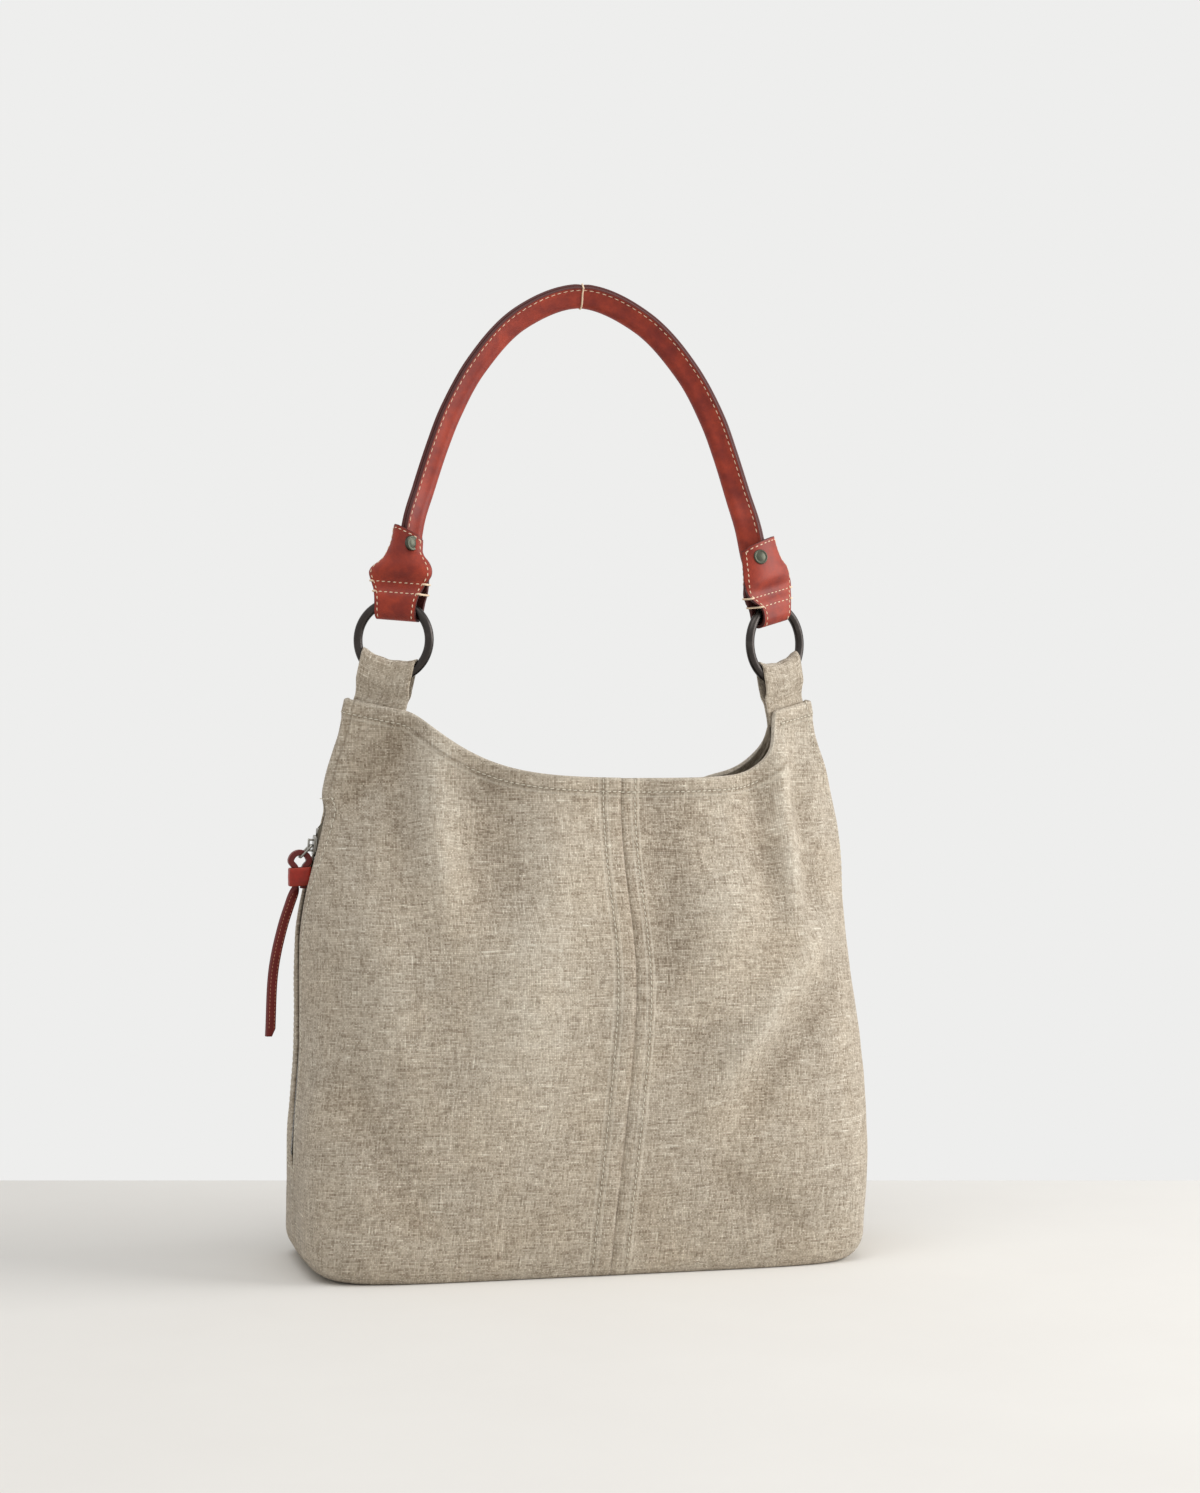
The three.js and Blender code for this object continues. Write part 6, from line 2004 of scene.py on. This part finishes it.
class LINENBAG_OT_stage(bpy.types.Operator):
    """Make the pale floor, the plain light and the camera"""

    bl_idname = "linenbag.stage"
    bl_label = "Stage"

    def execute(self, context):
        scene = context.scene
        forward = Vector((math.sin(CAMERA_TURN), math.cos(CAMERA_TURN), 0.0))
        right = Vector((math.cos(CAMERA_TURN), -math.sin(CAMERA_TURN), 0.0))
        lens = bpy.data.cameras.new("Camera")
        lens.sensor_width = SENSOR
        lens.lens = SENSOR * FOCAL_PIXELS / PICTURE_TALL
        camera = link_object("Camera", lens)
        camera.location = right * CAMERA_RIGHT - forward * CAMERA_BACK + Vector((0.0, 0.0, CAMERA_HIGH))
        camera.rotation_euler = forward.to_track_quat("-Z", "Y").to_euler()
        scene.camera = camera
        floor = bpy.data.meshes.new("floor")
        corners = [forward * ahead + right * across
                   for ahead, across in ((FLOOR_BEHIND, FLOOR_HALF), (FLOOR_BEHIND, -FLOOR_HALF),
                                         (-FLOOR_AHEAD, -FLOOR_HALF), (-FLOOR_AHEAD, FLOOR_HALF))]
        floor.from_pydata([tuple(c) for c in corners], [], [(0, 1, 2, 3)])
        ground = link_object("floor", floor)
        pale = Finish("Pale floor")
        place = pale.place()
        cloud = pale.noise(place, 6.0, 4.0, 0.6)
        tint = pale.blend(cloud, srgb(228, 225, 220), srgb(234, 232, 227))
        ground.data.materials.append(pale.surface(tint, 0.85, Specular_IOR_Level=0.1))
        self.light(scene, forward, right)
        scene.view_settings.view_transform = "Standard"
        return {"FINISHED"}

    def light(self, scene, forward, right):
        """Soft light all round, a broad lamp from the right and a broader one above in front."""
        world = bpy.data.worlds.new("Plain light")
        scene.world = world
        world.use_nodes = True
        nodes, links = world.node_tree.nodes, world.node_tree.links
        nodes.clear()
        shades = []
        for colour, strength in (((1.0, 1.0, 1.0), FILL_STRENGTH), (srgb(238, 238, 237), 1.0)):
            shade = nodes.new("ShaderNodeBackground")
            shade.inputs["Color"].default_value = (*colour, 1.0)
            shade.inputs["Strength"].default_value = strength
            shades.append(shade)
        path = nodes.new("ShaderNodeLightPath")
        either = nodes.new("ShaderNodeMath")
        either.operation = "MAXIMUM"
        choose = nodes.new("ShaderNodeMixShader")
        for source, target in ((path.outputs["Is Camera Ray"], either.inputs[0]),
                               (path.outputs["Is Glossy Ray"], either.inputs[1]),
                               (either.outputs[0], choose.inputs[0]),
                               (shades[0].outputs[0], choose.inputs[1]),
                               (shades[1].outputs[0], choose.inputs[2])):
            links.new(source, target)
        end = nodes.new("ShaderNodeOutputWorld")
        links.new(choose.outputs[0], end.inputs["Surface"])
        for name, beside, ahead, high, size, power in LAMPS:
            data = bpy.data.lights.new(name, "AREA")
            data.shape = "SQUARE"
            data.size = size
            data.energy = power
            lamp = link_object(name, data)
            lamp.location = right * beside + forward * ahead + Vector((0.0, 0.0, high))
            lamp.rotation_euler = (LAMPS_AIM - lamp.location).to_track_quat("-Z", "Y").to_euler()


OPERATORS = [
    LINENBAG_OT_stage, LINENBAG_OT_body, LINENBAG_OT_facings, LINENBAG_OT_cloth_stitches,
    LINENBAG_OT_tabs, LINENBAG_OT_rings, LINENBAG_OT_chapes, LINENBAG_OT_handle,
    LINENBAG_OT_zip, LINENBAG_OT_pull,
]


class LINENBAG_PT_panel(bpy.types.Panel):
    """Buttons for each group of pieces"""

    bl_idname = "LINENBAG_PT_panel"
    bl_label = "Linen Bag"
    bl_space_type = "VIEW_3D"
    bl_region_type = "UI"
    bl_category = "Linen Bag"

    def draw(self, context):
        for group in (context.scene.linen_bag_sizes, context.scene.linen_bag_colours):
            column = self.layout.column(align=True)
            for name in group.bl_rna.properties.keys():
                if name not in {"rna_type", "name"}:
                    column.prop(group, name)
        for operator in OPERATORS:
            self.layout.operator(operator.bl_idname)


CLASSES = [LinenBagSizes, LinenBagColours, *OPERATORS, LINENBAG_PT_panel]


def register():
    """Add the classes and their settings."""
    for cls in CLASSES:
        bpy.utils.register_class(cls)
    bpy.types.Scene.linen_bag_sizes = bpy.props.PointerProperty(type=LinenBagSizes)
    bpy.types.Scene.linen_bag_colours = bpy.props.PointerProperty(type=LinenBagColours)


def unregister():
    """Remove the classes and their settings."""
    del bpy.types.Scene.linen_bag_colours
    del bpy.types.Scene.linen_bag_sizes
    for cls in reversed(CLASSES):
        bpy.utils.unregister_class(cls)


def main():
    """Make every piece."""
    register()
    for operator in OPERATORS:
        family, name = operator.bl_idname.split(".")
        getattr(getattr(bpy.ops, family), name)()


if __name__ == "__main__":
    main()
